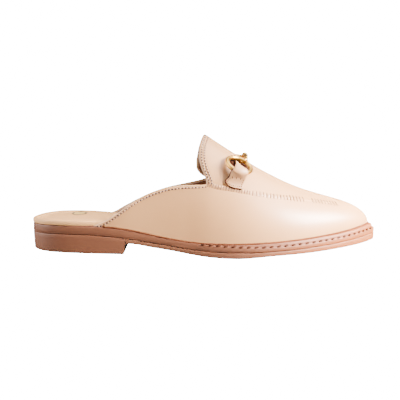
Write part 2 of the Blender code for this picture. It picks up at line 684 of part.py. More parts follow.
for side in ("lateral", "medial"):
    sign = -1.0 if side == "lateral" else 1.0
    here, toe, down, normal = seat(side, BIT_S, BIT_Z - (0.0 if side == "lateral" else MEDIAL_DROP))
    low_way = math.cos(RING_TILT) * down + math.sin(RING_TILT) * normal
    out_way = math.cos(RING_TILT) * normal - math.sin(RING_TILT) * down
    centre = here + RING_LIFT * normal
    wire_ring("ring_" + side, turned(centre, toe, out_way), RING_RADIUS, WIRE_RADIUS, 30, 10)

    # Bar half: an eye round the ring's wire, then a rod over the ridge to the link
    radial = math.cos(EYE_ANGLE) * toe - math.sin(EYE_ANGLE) * low_way
    tangent = -math.sin(EYE_ANGLE) * toe - math.cos(EYE_ANGLE) * low_way
    eye_out = math.cos(EYE_TURN) * out_way - math.sin(EYE_TURN) * tangent
    eye_axis = math.cos(EYE_TURN) * tangent + math.sin(EYE_TURN) * out_way
    eye_centre = centre + (RING_RADIUS + 0.2) * radial + 0.15 * out_way
    bar = wire_ring("bar_" + side, turned(eye_centre, radial, eye_axis),
                    EYE_RADIUS, EYE_WIRE, 20, 8)
    start = eye_centre + (EYE_RADIUS + 0.4) * (0.86 * radial + 0.5 * eye_out).normalized()
    path = []
    radii = []
    end_y = ridge_y + sign * (LINK_HALF + 0.85)
    for k in range(BAR_PIECES + 1):
        t = k / BAR_PIECES
        swell = math.sin(t * math.pi / 2)
        s = start.x + (RIDGE_BAR_S - start.x) * t
        y = start.y + (end_y - start.y) * t
        floor_z = over_ridge(s, y) + BAR_RADIUS + BAR_CLEARANCE
        path.append(Vector((s, y, max(start.z + (link_z - start.z) * swell, floor_z))))
        radii.append(BAR_START_RADIUS + (BAR_RADIUS - BAR_START_RADIUS) * swell)
    shank = round_rod("bar_rod_" + side, path, radii, 4)
    MULE.objects.unlink(shank)
    CUTTERS.objects.link(shank)
    shank.hide_render = True
    shank.display_type = "WIRE"
    join = bar.modifiers.new("rod", "BOOLEAN")
    join.operation = "UNION"
    join.solver = "EXACT"
    join.object = shank

    # The tab's middle surface, then its leather thickness to both sides
    def skin_under(at):
        """Point of the upper straight under a point of the seat plane."""
        points = column(side, s=min(at.x, SPLIT_S))
        near = v_where(points, lambda q: at.z)
        tries = [bezier(points, min(max(near + step * 0.004, 0.0), 1.0)) for step in range(-40, 41)]
        return min(tries, key=lambda p: abs((p - at).dot(down)))

    rows = []
    for fall, left, right, slack in SHIELD:
        row = []
        for m in range(TAB_COLUMNS + 1):
            at = here + (left + (right - left) * m / TAB_COLUMNS) * toe + fall * down
            rise = (skin_under(at) - at).dot(normal)
            row.append(at + (rise + slack + SHIELD_GAP + 0.5 * TAB_THICK) * normal)
        rows.append(row)
    reach = WIRE_RADIUS + TAB_GAP + 0.5 * TAB_THICK
    for degrees, left, right in FOLD:
        angle = math.radians(degrees)
        row = []
        for m in range(TAB_COLUMNS + 1):
            across = left + (right - left) * m / TAB_COLUMNS
            bow = math.sqrt((RING_RADIUS + reach * math.cos(angle)) ** 2 - across ** 2)
            row.append(centre + across * toe + bow * low_way + reach * math.sin(angle) * out_way)
        rows.append(row)
    bm = bmesh.new()
    verts = [[bm.verts.new(place(*spot)) for spot in row] for row in rows]
    for below, above in zip(verts, verts[1:]):
        for m in range(TAB_COLUMNS):
            bm.faces.new((below[m], below[m + 1], above[m + 1], above[m]))
    tab = finish_mesh("tab_" + side, bm, LEATHER, 0.4)
    hide = tab.modifiers.new("leather", "SOLIDIFY")
    hide.thickness = TAB_THICK * 0.001
    hide.offset = 0.0
    hide.use_rim = True
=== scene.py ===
# Flat backless loafer, right shoe, in a white studio.
# Metres, +X to the toe, +Y to the medial side, +Z up, floor at z = 0.
# Tables are in millimetres along the shoe: s from the heel back to the toe tip, z up.
import math

import bmesh
import bpy
import numpy as np
from mathutils import Matrix, Vector


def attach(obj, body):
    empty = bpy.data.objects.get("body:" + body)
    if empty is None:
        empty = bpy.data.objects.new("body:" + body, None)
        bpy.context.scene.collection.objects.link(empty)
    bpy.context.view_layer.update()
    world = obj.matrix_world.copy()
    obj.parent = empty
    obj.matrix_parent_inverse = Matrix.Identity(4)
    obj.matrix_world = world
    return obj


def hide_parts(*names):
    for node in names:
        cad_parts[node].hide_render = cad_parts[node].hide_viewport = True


# Camera: a long lens from the lateral side, a little above the shoe and pitched down
camera_data = bpy.data.cameras.new("camera")
camera_data.lens = 80.46
camera_data.sensor_width = 36.0
camera_data.clip_start = 0.05
camera_data.dof.use_dof = False
camera = bpy.data.objects.new("camera", camera_data)
camera.location = (-0.0050, -0.7006, 0.1241)
roll = Matrix.Rotation(math.radians(-0.9), 3, "Y")
camera.rotation_euler = (roll @ Matrix.Rotation(math.radians(90.0 - 6.95), 3, "X")).to_euler()
bpy.context.scene.collection.objects.link(camera)
bpy.context.scene.camera = camera

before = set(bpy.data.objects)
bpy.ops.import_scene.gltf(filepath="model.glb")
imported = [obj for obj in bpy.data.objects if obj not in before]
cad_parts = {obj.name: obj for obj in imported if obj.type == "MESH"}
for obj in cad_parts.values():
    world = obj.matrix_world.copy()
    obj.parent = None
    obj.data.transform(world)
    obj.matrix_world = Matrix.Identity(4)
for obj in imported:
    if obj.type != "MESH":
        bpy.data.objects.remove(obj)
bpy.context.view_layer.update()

# Studio: a white sweep that the camera sees as plain white, a soft sky that is bright above
# the toe and dim behind the heel, a long soft light close to the toe, one above the tongue,
# one behind the heel and a weak one in front
WHITE_LEVEL = 24.0


def node(tree, kind, inputs=None, **settings):
    """New node of a tree. An input takes a value or the socket that feeds it."""
    made = tree.nodes.new(kind)
    for name, value in settings.items():
        setattr(made, name, value)
    for name, value in (inputs or {}).items():
        if isinstance(value, bpy.types.NodeSocket):
            tree.links.new(value, made.inputs[name])
        else:
            made.inputs[name].default_value = value
    return made


def white_to_camera(tree, lit, glow, end):
    """Show the camera the glow, and light everything else by the lit shader."""
    seen = node(tree, "ShaderNodeLightPath")
    either = node(tree, "ShaderNodeMixShader", {"Fac": seen.outputs["Is Camera Ray"], 1: lit, 2: glow})
    tree.links.new(either.outputs["Shader"], end)


sky = bpy.data.worlds.new("studio_sky")
sky.use_nodes = True
sky_tree = sky.node_tree
toward = node(sky_tree, "ShaderNodeTexCoord")
slope = node(sky_tree, "ShaderNodeVectorMath",
             {0: toward.outputs["Generated"], 1: (0.35, -0.05, 0.75)}, operation="DOT_PRODUCT")
level = node(sky_tree, "ShaderNodeMapRange",
             {"Value": slope.outputs["Value"], "From Min": -0.5, "From Max": 0.8,
              "To Min": 0.02, "To Max": 0.30})
soft_sky = sky_tree.nodes["Background"]
soft_sky.inputs["Color"].default_value = (1.0, 0.99, 0.97, 1.0)
sky_tree.links.new(level.outputs["Result"], soft_sky.inputs["Strength"])
white_sky = node(sky_tree, "ShaderNodeBackground",
                 {"Color": (1.0, 1.0, 1.0, 1.0), "Strength": WHITE_LEVEL})
white_to_camera(sky_tree, soft_sky.outputs["Background"], white_sky.outputs["Background"],
                sky_tree.nodes["World Output"].inputs["Surface"])
bpy.context.scene.world = sky
floor_material = bpy.data.materials.new("white_sweep")
floor_material.use_nodes = True
floor_tree = floor_material.node_tree
floor_shader = floor_tree.nodes["Principled BSDF"]
floor_shader.inputs["Base Color"].default_value = (0.14, 0.13, 0.12, 1.0)
floor_shader.inputs["Roughness"].default_value = 0.9
floor_glow = node(floor_tree, "ShaderNodeEmission", {"Strength": WHITE_LEVEL})
white_to_camera(floor_tree, floor_shader.outputs["BSDF"], floor_glow.outputs["Emission"],
                floor_tree.nodes["Material Output"].inputs["Surface"])
bpy.ops.mesh.primitive_plane_add(size=12.0, location=(0.0, 2.0, -0.0002))
floor = bpy.context.object
floor.name = "floor"
floor.data.materials.append(floor_material)
for name, energy, size, spread, location, aim_x in (
    ("toe_light", 4.9, (0.38, 0.14), 52.0, (0.40, -0.11, 0.24), 0.15),
    ("top_light", 2.2, (0.5, 0.5), 80.0, (0.20, 0.04, 0.50), 0.09),
    ("front_light", 0.35, (0.6, 0.6), 180.0, (-0.15, -0.9, 0.35), 0.0),
    ("back_light", 7.5, (0.5, 0.5), 180.0, (-0.50, -0.04, 0.25), -0.1),
):
    light_data = bpy.data.lights.new(name, "AREA")
    light_data.energy = energy
    light_data.shape = "RECTANGLE"
    light_data.size, light_data.size_y = size
    light_data.spread = math.radians(spread)
    light = bpy.data.objects.new(name, light_data)
    light.location = location
    aim = Vector((aim_x, 0.0, 0.03)) - light.location
    light.rotation_euler = aim.to_track_quat("-Z", "Y").to_euler()
    bpy.context.scene.collection.objects.link(light)

# Sole outline: the plan edge that the outsole, heel, midsole and footbed share, walked from
# the heel back to the toe tip on each side, and the heights at which the layers meet
LATERAL_EDGE = (
    (-1.0, 2.0), (-0.1, -5.0), (2.2, -11.6), (7.2, -19.2), (15.4, -25.4), (30.0, -29.6),
    (50.0, -31.6), (70.0, -32.6), (88.0, -33.0), (104.0, -34.6), (120.0, -37.4), (140.0, -42.0),
    (158.0, -44.8), (175.0, -45.2), (190.0, -43.4), (205.0, -39.6), (220.0, -33.9),
    (235.0, -26.0), (247.6, -17.6), (257.4, -9.0), (264.6, -0.4), (268.9, 5.8),
)
MEDIAL_EDGE = (
    (270.6, 11.8), (269.3, 17.4), (264.8, 23.4), (257.6, 29.0), (248.0, 34.2), (236.0, 39.0),
    (222.0, 43.0), (207.0, 45.7), (192.0, 46.4), (176.0, 44.6), (160.0, 39.2), (142.0, 32.4),
    (124.0, 27.6), (106.0, 26.2), (88.0, 27.2), (70.0, 29.2), (50.0, 30.6), (30.0, 30.6),
    (15.4, 27.6), (7.2, 22.6), (2.2, 15.8), (-0.1, 9.2),
)
MIDSOLE_TOP = (
    (-2.3, 20.2), (19.7, 20.8), (51.7, 21.0), (63.7, 20.2), (75.7, 18.7), (87.7, 16.5),
    (98.8, 14.3), (109.8, 12.4), (121.8, 10.9), (133.9, 10.2), (149.9, 10.3), (167.8, 11.0),
    (184.8, 12.0), (205.8, 13.7), (220.8, 15.1), (239.8, 17.1), (254.7, 19.1), (270.7, 21.2),
)
MIDSOLE_FOOT = (
    (-2.2, 13.9), (23.8, 14.5), (41.8, 14.6), (55.8, 14.1), (68.8, 13.0), (81.8, 11.4),
    (93.9, 9.6), (109.9, 7.6), (121.9, 6.2), (135.9, 5.1), (149.9, 4.8), (167.9, 5.1),
    (184.9, 6.1), (205.9, 7.6), (221.9, 9.0), (237.9, 10.5), (254.8, 12.5), (270.8, 14.5),
)
SIDES = ("lateral", "medial")
LAYER_GAP = 0.3
EDGE_STEPS = 14
EDGE_END = 268.0
BREAST_S = 74.0
BREAST_GAP = 0.35
FRAME_ORIGIN = (134.0, 0.6, 0.0)


def sample(table, s, column=1):
    """Smooth value of one column of a table at s."""
    if s <= table[0][0]:
        return table[0][column]
    if s >= table[-1][0]:
        return table[-1][column]
    k = 0
    while table[k + 1][0] < s:
        k += 1
    s0, s1 = table[k][0], table[k + 1][0]
    v0, v1 = table[k][column], table[k + 1][column]
    h = s1 - s0
    slope = (v1 - v0) / h
    m0 = m1 = slope
    if k > 0:
        back = (v0 - table[k - 1][column]) / (s0 - table[k - 1][0])
        m0 = 0.0 if back * slope <= 0.0 else 2.0 * back * slope / (back + slope)
    if k < len(table) - 2:
        ahead = (table[k + 2][column] - v1) / (table[k + 2][0] - s1)
        m1 = 0.0 if ahead * slope <= 0.0 else 2.0 * ahead * slope / (ahead + slope)
    t = (s - s0) / h
    return ((2 * t ** 3 - 3 * t ** 2 + 1) * v0 + (t ** 3 - 2 * t ** 2 + t) * h * m0
            + (3 * t ** 2 - 2 * t ** 3) * v1 + (t ** 3 - t ** 2) * h * m1)


def closed_spline(points, steps):
    """Closed smooth line through plan points, steps pieces between neighbours."""
    out = []
    n = len(points)
    for i in range(n):
        p0, p1 = points[i - 1], points[i]
        p2, p3 = points[(i + 1) % n], points[(i + 2) % n]
        knots = [0.0]
        for a, b in ((p0, p1), (p1, p2), (p2, p3)):
            knots.append(knots[-1] + math.sqrt(math.hypot(b[0] - a[0], b[1] - a[1])))
        t0, t1, t2, t3 = knots
        for k in range(steps):
            t = t1 + (t2 - t1) * k / steps
            point = []
            for axis in (0, 1):
                a1 = ((t1 - t) * p0[axis] + (t - t0) * p1[axis]) / (t1 - t0)
                a2 = ((t2 - t) * p1[axis] + (t - t1) * p2[axis]) / (t2 - t1)
                a3 = ((t3 - t) * p2[axis] + (t - t2) * p3[axis]) / (t3 - t2)
                b1 = ((t2 - t) * a1 + (t - t0) * a2) / (t2 - t0)
                b2 = ((t3 - t) * a2 + (t - t1) * a3) / (t3 - t1)
                point.append(((t2 - t) * b1 + (t - t1) * b2) / (t2 - t1))
            out.append(tuple(point))
    return out


EDGE = np.array(closed_spline(LATERAL_EDGE + MEDIAL_EDGE, EDGE_STEPS))
TIP_INDEX = len(LATERAL_EDGE) * EDGE_STEPS
EDGE_TANGENT = np.roll(EDGE, -2, axis=0) - np.roll(EDGE, 2, axis=0)
EDGE_TANGENT /= np.linalg.norm(EDGE_TANGENT, axis=1)[:, None]
EDGE_INWARD = np.stack([-EDGE_TANGENT[:, 1], EDGE_TANGENT[:, 0]], axis=1)


def run_of(points):
    """Running length at each point of a line."""
    return np.concatenate([[0.0], np.cumsum(np.linalg.norm(np.diff(points, axis=0), axis=1))])


def side_walk(side, low=None, high=None, step=0.75):
    """Points, inward normals and running length of the edge on one side, heel to tip."""
    order = list(range(TIP_INDEX + 1))
    if side == "medial":
        order = [0] + list(range(len(EDGE) - 1, TIP_INDEX - 1, -1))
    points, inward = EDGE[order], EDGE_INWARD[order]
    run = run_of(points)
    start = 0.0 if low is None else float(np.interp(low, points[:, 0], run))
    end = run[-1] if high is None else float(np.interp(high, points[:, 0], run))
    count = int(round((end - start) / step))
    if low is not None or high is not None:
        count = 2 * int(round((high or EDGE_END) - (low or 0.0)))
    at = np.linspace(start, end, count + 1)
    spots = np.stack([np.interp(at, run, points[:, k]) for k in (0, 1)], axis=1)
    ways = np.stack([np.interp(at, run, inward[:, k]) for k in (0, 1)], axis=1)
    ways /= np.linalg.norm(ways, axis=1)[:, None]
    return spots, ways, at


def placed(points):
    """Table millimetres to shared frame metres."""
    points = np.asarray(points, float)
    return (points - np.array(FRAME_ORIGIN)) * 0.001


def piece(name, points, faces, materials, face_slots=None, sharp=40.0):
    """Closed mesh object from table millimetres, outward normals, smooth but for its corners."""
    mesh = bpy.data.meshes.new(name)
    mesh.from_pydata(placed(points).tolist(), [], faces)
    for material in materials:
        mesh.materials.append(material)
    if face_slots is not None:
        mesh.polygons.foreach_set("material_index", face_slots)
    bm = bmesh.new()
    bm.from_mesh(mesh)
    bmesh.ops.recalc_face_normals(bm, faces=bm.faces)
    bm.to_mesh(mesh)
    bm.free()
    mesh.shade_smooth()
    mesh.set_sharp_from_angle(angle=math.radians(sharp))
    obj = bpy.data.objects.new(name, mesh)
    bpy.context.scene.collection.objects.link(obj)
    return obj


END_POWER = 6


def layer(name, levels, material, low=None, high=None, across=1, dish=None):
    """Solid of loops round the sole edge, from its lowest level to its highest.

    A level is an inset and a height, both of s and the running length, and how far its open
    end is drawn along the shoe, or None."""
    walks = {side: side_walk(side, low, high) for side in SIDES}
    count = min(len(walks[side][0]) for side in walks)
    for side in walks:
        spots, ways, at = walks[side]
        pick = np.linspace(0, len(spots) - 1, count)
        index = np.arange(len(spots))
        walks[side] = (
            np.stack([np.interp(pick, index, spots[:, k]) for k in (0, 1)], axis=1),
            np.stack([np.interp(pick, index, ways[:, k]) for k in (0, 1)], axis=1),
            np.interp(pick, index, at))
    points = []
    loops = []
    for inset, height, end in levels:
        loop = {}
        for side in SIDES:
            spots, ways, at = walks[side]
            ids = []
            for k in range(count):
                shared = side == "medial" and ((k == 0 and low is None)
                                               or (k == count - 1 and high is None))
                if shared:
                    ids.append(loop["lateral"][k])
                    continue
                s = float(spots[k, 0])
                d = inset(s, float(at[k]))
                x, y = spots[k] + d * ways[k]
                if end is not None:
                    x += end * (k / (count - 1)) ** END_POWER
                ids.append(len(points))
                points.append((x, y, height(s, float(at[k]))))
            loop[side] = ids
        loops.append(loop)
    faces = []
    for below, above in zip(loops, loops[1:]):
        for side in SIDES:
            for k in range(count - 1):
                faces.append((below[side][k], below[side][k + 1], above[side][k + 1], above[side][k]))
        for k, is_open in ((0, low is not None), (count - 1, high is not None)):
            if is_open:
                faces.append((below["lateral"][k], below["medial"][k],
                              above["medial"][k], above["lateral"][k]))
    for cap, bend in ((loops[0], None), (loops[-1], dish)):
        rows = []
        for k in range(count):
            a, b = cap["lateral"][k], cap["medial"][k]
            row = [a]
            for m in range(1, across if bend else 1):
                if a == b:
                    row.append(a)
                    continue
                t = m / across
                pa, pb = np.array(points[a]), np.array(points[b])
                p = pa + (pb - pa) * t
                p[2] += bend(p[0], t)
                row.append(len(points))
                points.append(tuple(p))
            row.append(b)
            rows.append(row)
        for one, two in zip(rows, rows[1:]):
            for m in range(len(one) - 1):
                corners = []
                for vert in (one[m], two[m], two[m + 1], one[m + 1]):
                    if vert not in corners:
                        corners.append(vert)
                if len(corners) > 2:
                    faces.append(tuple(corners))
    return piece(name, points, faces, [material])


def flat_inset(value):
    return lambda s, run: value


# Leather of the sole: a tan hide with fine pores, painted warmer and lighter toward the toe as painted
# light where the toe light falls.
# The shared group gives a tone and a normal, and the shader stays in each material.
def leather_grain_group():
    """Shared node group: tone and bump of a finished hide."""
    tree = bpy.data.node_groups.new("leather_grain", "ShaderNodeTree")
    for name, kind, direction, value in (
        ("Vector", "NodeSocketVector", "INPUT", None), ("Pore scale", "NodeSocketFloat", "INPUT", 900.0),
        ("Depth", "NodeSocketFloat", "INPUT", 0.1), ("Tone", "NodeSocketFloat", "OUTPUT", None),
        ("Normal", "NodeSocketVector", "OUTPUT", None),
    ):
        socket = tree.interface.new_socket(name, in_out=direction, socket_type=kind)
        if value is not None:
            socket.default_value = value
    given = node(tree, "NodeGroupInput").outputs
    pores = node(tree, "ShaderNodeTexVoronoi",
                 {"Vector": given["Vector"], "Scale": given["Pore scale"]}, feature="F1")
    cloud = node(tree, "ShaderNodeTexNoise", {"Vector": given["Vector"], "Scale": 38.0, "Detail": 4.0})
    fine = node(tree, "ShaderNodeTexNoise", {"Vector": given["Vector"], "Scale": 420.0, "Detail": 3.0})
    mixed = node(tree, "ShaderNodeMath",
                 {0: fine.outputs["Fac"], 1: 0.5, 2: pores.outputs["Distance"]}, operation="MULTIPLY_ADD")
    bump = node(tree, "ShaderNodeBump",
                {"Strength": given["Depth"], "Distance": 0.0002, "Height": mixed.outputs["Value"]})
    node(tree, "NodeGroupOutput", {"Tone": cloud.outputs["Fac"], "Normal": bump.outputs["Normal"]})
    return tree


LEATHER_GRAIN = leather_grain_group()


def srgb(r, g, b):
    """Screen colour, 0 to 255, as a linear colour."""
    out = []
    for value in (r, g, b):
        c = value / 255.0
        out.append(c / 12.92 if c <= 0.04045 else ((c + 0.055) / 1.055) ** 2.4)
    return (out[0], out[1], out[2], 1.0)


def hide(name, dark, light, roughness, depth=0.12, pores=900.0, coat=0.0, specular=0.5):
    """Leather material: two tones mixed by the grain group, with its bump."""
    material = bpy.data.materials.new(name)
    material.use_nodes = True
    tree = material.node_tree
    shader = tree.nodes["Principled BSDF"]
    for socket, value in (("Roughness", roughness), ("Coat Weight", coat), ("Coat Roughness", 0.25),
                          ("Specular IOR Level", specular)):
        shader.inputs[socket].default_value = value
    where = node(tree, "ShaderNodeTexCoord")
    grain = node(tree, "ShaderNodeGroup", node_tree=LEATHER_GRAIN)
    grain.inputs["Pore scale"].default_value = pores
    grain.inputs["Depth"].default_value = depth
    tree.links.new(where.outputs["Object"], grain.inputs["Vector"])
    tones = node(tree, "ShaderNodeMix", {"A": dark, "B": light, "Factor": grain.outputs["Tone"]},
                 data_type="RGBA")
    tree.links.new(tones.outputs["Result"], shader.inputs["Base Color"])
    tree.links.new(grain.outputs["Normal"], shader.inputs["Normal"])
    return material


SOLE_TAN = hide("sole_tan", srgb(94, 52, 29), srgb(109, 62, 35), 0.56, 0.08, 500.0, specular=0.42)
tan_tree = SOLE_TAN.node_tree
# Painted light: the base colour turns warmer and lighter toward the toe, standing in for the light on the
# toe
along = node(tan_tree, "ShaderNodeSeparateXYZ",
             {"Vector": tan_tree.nodes["Texture Coordinate"].outputs["Object"]})
painted_toe_light_mask = node(tan_tree, "ShaderNodeMapRange",
               {"Value": along.outputs["X"], "From Min": 0.02, "From Max": 0.13},
               interpolation_type="SMOOTHSTEP")
painted_toe_light = node(tan_tree, "ShaderNodeMix",
              {"Factor": painted_toe_light_mask.outputs["Result"], "A": tan_tree.nodes["Mix"].outputs["Result"],
               "B": srgb(128, 65, 16)}, data_type="RGBA")
tan_tree.links.new(painted_toe_light.outputs["Result"], tan_tree.nodes["Principled BSDF"].inputs["Base Color"])
# Painted shade: dark brown for sole faces that lie in shade, the outsole's underside and the heel's front
# face
SOLE_UNDER_SHADE = hide("sole_under_painted_shade", srgb(52, 30, 20), srgb(64, 38, 26), 0.7, 0.1, 500.0)

# Outsole: one thin lift of sole leather glued under the midsole, from the heel's breast to
# the toe, hollowed at the waist, with its cut edge dressed and its underside painted dark as painted shade
OUTSOLE_FOOT = (
    (74.0, 8.3), (77.0, 8.3), (80.0, 8.1), (84.0, 7.7), (92.0, 6.3),
    (102.0, 5.0), (112.0, 3.6), (122.0, 2.1), (131.0, 1.0), (138.0, 0.4), (144.0, 0.1),
    (148.0, 0.0), (158.0, 0.0), (162.0, 0.2), (168.0, 0.7), (176.0, 1.5), (185.0, 2.4),
    (194.0, 3.0), (203.0, 3.5), (213.0, 4.1), (223.0, 4.8), (233.0, 5.6), (243.0, 6.4),
    (253.0, 7.2), (263.0, 8.1), (271.0, 8.9),
)
UNDERSIDE_Z = -0.5


def outsole_low(rise):
    return lambda s, run: sample(OUTSOLE_FOOT, s) + rise


def outsole_high(drop):
    return lambda s, run: sample(MIDSOLE_FOOT, s) - LAYER_GAP - drop


outsole = layer("outsole_layer", (
    (flat_inset(0.9), outsole_low(0.0), None),
    (flat_inset(0.3), outsole_low(0.2), None),
    (flat_inset(0.1), outsole_low(0.7), None),
    (flat_inset(0.0), outsole_high(0.6), None),
    (flat_inset(0.1), outsole_high(0.25), None),
    (flat_inset(0.45), outsole_high(0.0), None),
), SOLE_TAN, low=BREAST_S + BREAST_GAP)
outsole.data.materials.append(SOLE_UNDER_SHADE)
# Painted shade: faces that look down take the dark colour
for face in outsole.data.polygons:
    if face.normal.z < UNDERSIDE_Z:
        face.material_index = 1
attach(outsole, "root")
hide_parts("outsole")

# Heel block: a low stack under the midsole's seat, drawn in a little to the floor, scoured
# and dressed like the sole, with an upright front face painted dark as painted shade
FRONT_X = 0.8
FRONT_DEPTH = 1.0


def heel_level(share):
    return lambda s, run: (sample(MIDSOLE_FOOT, s) - LAYER_GAP) * share


heel = layer("heel_block", (
    (flat_inset(1.6), heel_level(0.0), -1.4),
    (flat_inset(1.1), heel_level(0.012), -1.1),
    (flat_inset(0.9), heel_level(0.04), -0.9),
    (flat_inset(0.8), heel_level(0.14), -0.7),
    (flat_inset(0.65), heel_level(0.27), -0.5),
    (flat_inset(0.5), heel_level(0.4), -0.3),
    (flat_inset(0.2), heel_level(0.75), 0.0),
    (flat_inset(0.0), heel_level(0.96), 0.0),
    (flat_inset(0.12), heel_level(0.985), 0.0),
    (flat_inset(0.45), heel_level(1.0), 0.0),
), SOLE_TAN, high=BREAST_S)
heel.data.materials.append(SOLE_UNDER_SHADE)
# Painted shade: the front face of the heel takes the dark colour
for face in heel.data.polygons:
    if face.normal.x > FRONT_X and face.center.x > placed((BREAST_S - FRONT_DEPTH, 0.0, 0.0))[0]:
        face.material_index = 1
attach(heel, "root")
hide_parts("heel")

# Midsole: a leather band, plain at the heel, that turns into a stepped welt from the ball to
# the toe, with a lip against the upper and a wheeled edge notched at every stitch
WELT_SHARE = ((0.0, 0.0), (120.0, 0.0), (150.0, 0.45), (185.0, 1.0), (270.0, 1.0))
WELT_PITCH = 5.5


def notch(s, run):
    """How deep the wheeled notch is at this spot of the edge, 0 to 1."""
    phase = (run / WELT_PITCH) % 1.0
    near = min(phase, 1.0 - phase) * WELT_PITCH
    return sample(WELT_SHARE, s) * math.exp(-(near / 0.75) ** 4)


def band(plain, stepped, cut=0.0):
    """Height of one midsole level, as shares of the band at the heel and at the welt."""
    def height(s, run):
        low, high = sample(MIDSOLE_FOOT, s), sample(MIDSOLE_TOP, s)
        share = sample(WELT_SHARE, s)
        z = low + (high - low) * (plain + (stepped - plain) * share)
        return z - (cut * notch(s, run) if cut else 0.0)
    return height


def welt_inset(plain, stepped, cut=0.0):
    def inset(s, run):
        d = plain + (stepped - plain) * sample(WELT_SHARE, s)
        return d + (cut * notch(s, run) if cut else 0.0)
    return inset


midsole = layer("midsole_band", (
    (flat_inset(0.5), band(0.0, 0.0), None),
    (flat_inset(0.2), band(0.03, 0.03), None),
    (flat_inset(0.0), band(0.08, 0.08), None),
    (flat_inset(0.0), band(0.6, 0.3), None),
    (welt_inset(0.0, 0.0, 0.10), band(0.84, 0.44, 0.12), None),
    (welt_inset(0.1, 0.1, 0.15), band(0.92, 0.51, 0.2), None),
    (welt_inset(0.25, 0.3, 0.15), band(0.96, 0.55, 0.25), None),
    (welt_inset(0.4, 0.7, 0.1), band(0.98, 0.57, 0.2), None),
    (welt_inset(0.5, 1.2), band(0.99, 0.56), None),
    (welt_inset(0.6, 1.6), band(1.0, 0.57), None),
    (welt_inset(0.7, 1.75), band(1.0, 0.66), None),
    (welt_inset(0.8, 1.85), band(1.0, 0.80), None),
    (welt_inset(0.9, 2.1), band(1.0, 0.90), None),
    (welt_inset(1.0, 2.5), band(1.0, 0.96), None),
    (welt_inset(1.2, 3.0), band(1.0, 0.98), None),
    (welt_inset(2.2, 5.0), band(1.0, 1.0), None),
), SOLE_TAN)
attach(midsole, "root")
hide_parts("midsole")


# Stitches: one row of real thread along a line of the work. The modifier tree lays a short
# capsule at every step of the line, turned to the skin, and is then made a plain mesh.
def stitch_tree():
    """Node tree that instances one stitch along a line that carries skin_normal."""
    tree = bpy.data.node_groups.new("stitch_row", "GeometryNodeTree")
    for name, kind, direction in (
        ("Geometry", "NodeSocketGeometry", "INPUT"), ("Count", "NodeSocketInt", "INPUT"),
        ("Length", "NodeSocketFloat", "INPUT"), ("Width", "NodeSocketFloat", "INPUT"),
        ("Height", "NodeSocketFloat", "INPUT"), ("Lean", "NodeSocketFloat", "INPUT"),
        ("Lift", "NodeSocketFloat", "INPUT"), ("Material", "NodeSocketMaterial", "INPUT"),
        ("Geometry", "NodeSocketGeometry", "OUTPUT"),
    ):
        tree.interface.new_socket(name, in_out=direction, socket_type=kind)
    given = node(tree, "NodeGroupInput").outputs
    line = node(tree, "GeometryNodeMeshToCurve", {"Mesh": given["Geometry"]})
    steps = node(tree, "GeometryNodeResampleCurve",
                 {"Curve": line.outputs["Curve"], "Count": given["Count"]})
    skin = node(tree, "GeometryNodeInputNamedAttribute", {"Name": "skin_normal"},
                data_type="FLOAT_VECTOR")
    raised = node(tree, "ShaderNodeVectorMath",
                  {0: skin.outputs["Attribute"], "Scale": given["Lift"]}, operation="SCALE")
    moved = node(tree, "GeometryNodeSetPosition",
                 {"Geometry": steps.outputs["Curve"], "Offset": raised.outputs["Vector"]})
    way = node(tree, "GeometryNodeInputTangent")
    turn = node(tree, "FunctionNodeAxesToRotation",
                {"Primary Axis": skin.outputs["Attribute"], "Secondary Axis": way.outputs["Tangent"]},
                primary_axis="Z", secondary_axis="X")
    lean = node(tree, "FunctionNodeAxisAngleToRotation",
                {"Axis": (0.0, 0.0, 1.0), "Angle": given["Lean"]})
    both = node(tree, "FunctionNodeRotateRotation",
                {"Rotation": turn.outputs["Rotation"], "Rotate By": lean.outputs["Rotation"]},
                rotation_space="LOCAL")
    shape = node(tree, "GeometryNodeMeshUVSphere", {"Segments": 8, "Rings": 6, "Radius": 0.5})
    size = node(tree, "ShaderNodeCombineXYZ",
                {"X": given["Length"], "Y": given["Width"], "Z": given["Height"]})
    sized = node(tree, "GeometryNodeTransform",
                 {"Geometry": shape.outputs["Mesh"], "Scale": size.outputs["Vector"]})
    laid = node(tree, "GeometryNodeInstanceOnPoints",
                {"Points": moved.outputs["Geometry"], "Instance": sized.outputs["Geometry"],
                 "Rotation": both.outputs["Rotation"]})
    real = node(tree, "GeometryNodeRealizeInstances", {"Geometry": laid.outputs["Instances"]})
    smooth = node(tree, "GeometryNodeSetShadeSmooth", {"Geometry": real.outputs["Geometry"]})
    painted = node(tree, "GeometryNodeSetMaterial",
                   {"Geometry": smooth.outputs["Geometry"], "Material": given["Material"]})
    node(tree, "NodeGroupOutput", {"Geometry": painted.outputs["Geometry"]})
    return tree


STITCH_ROW = stitch_tree()


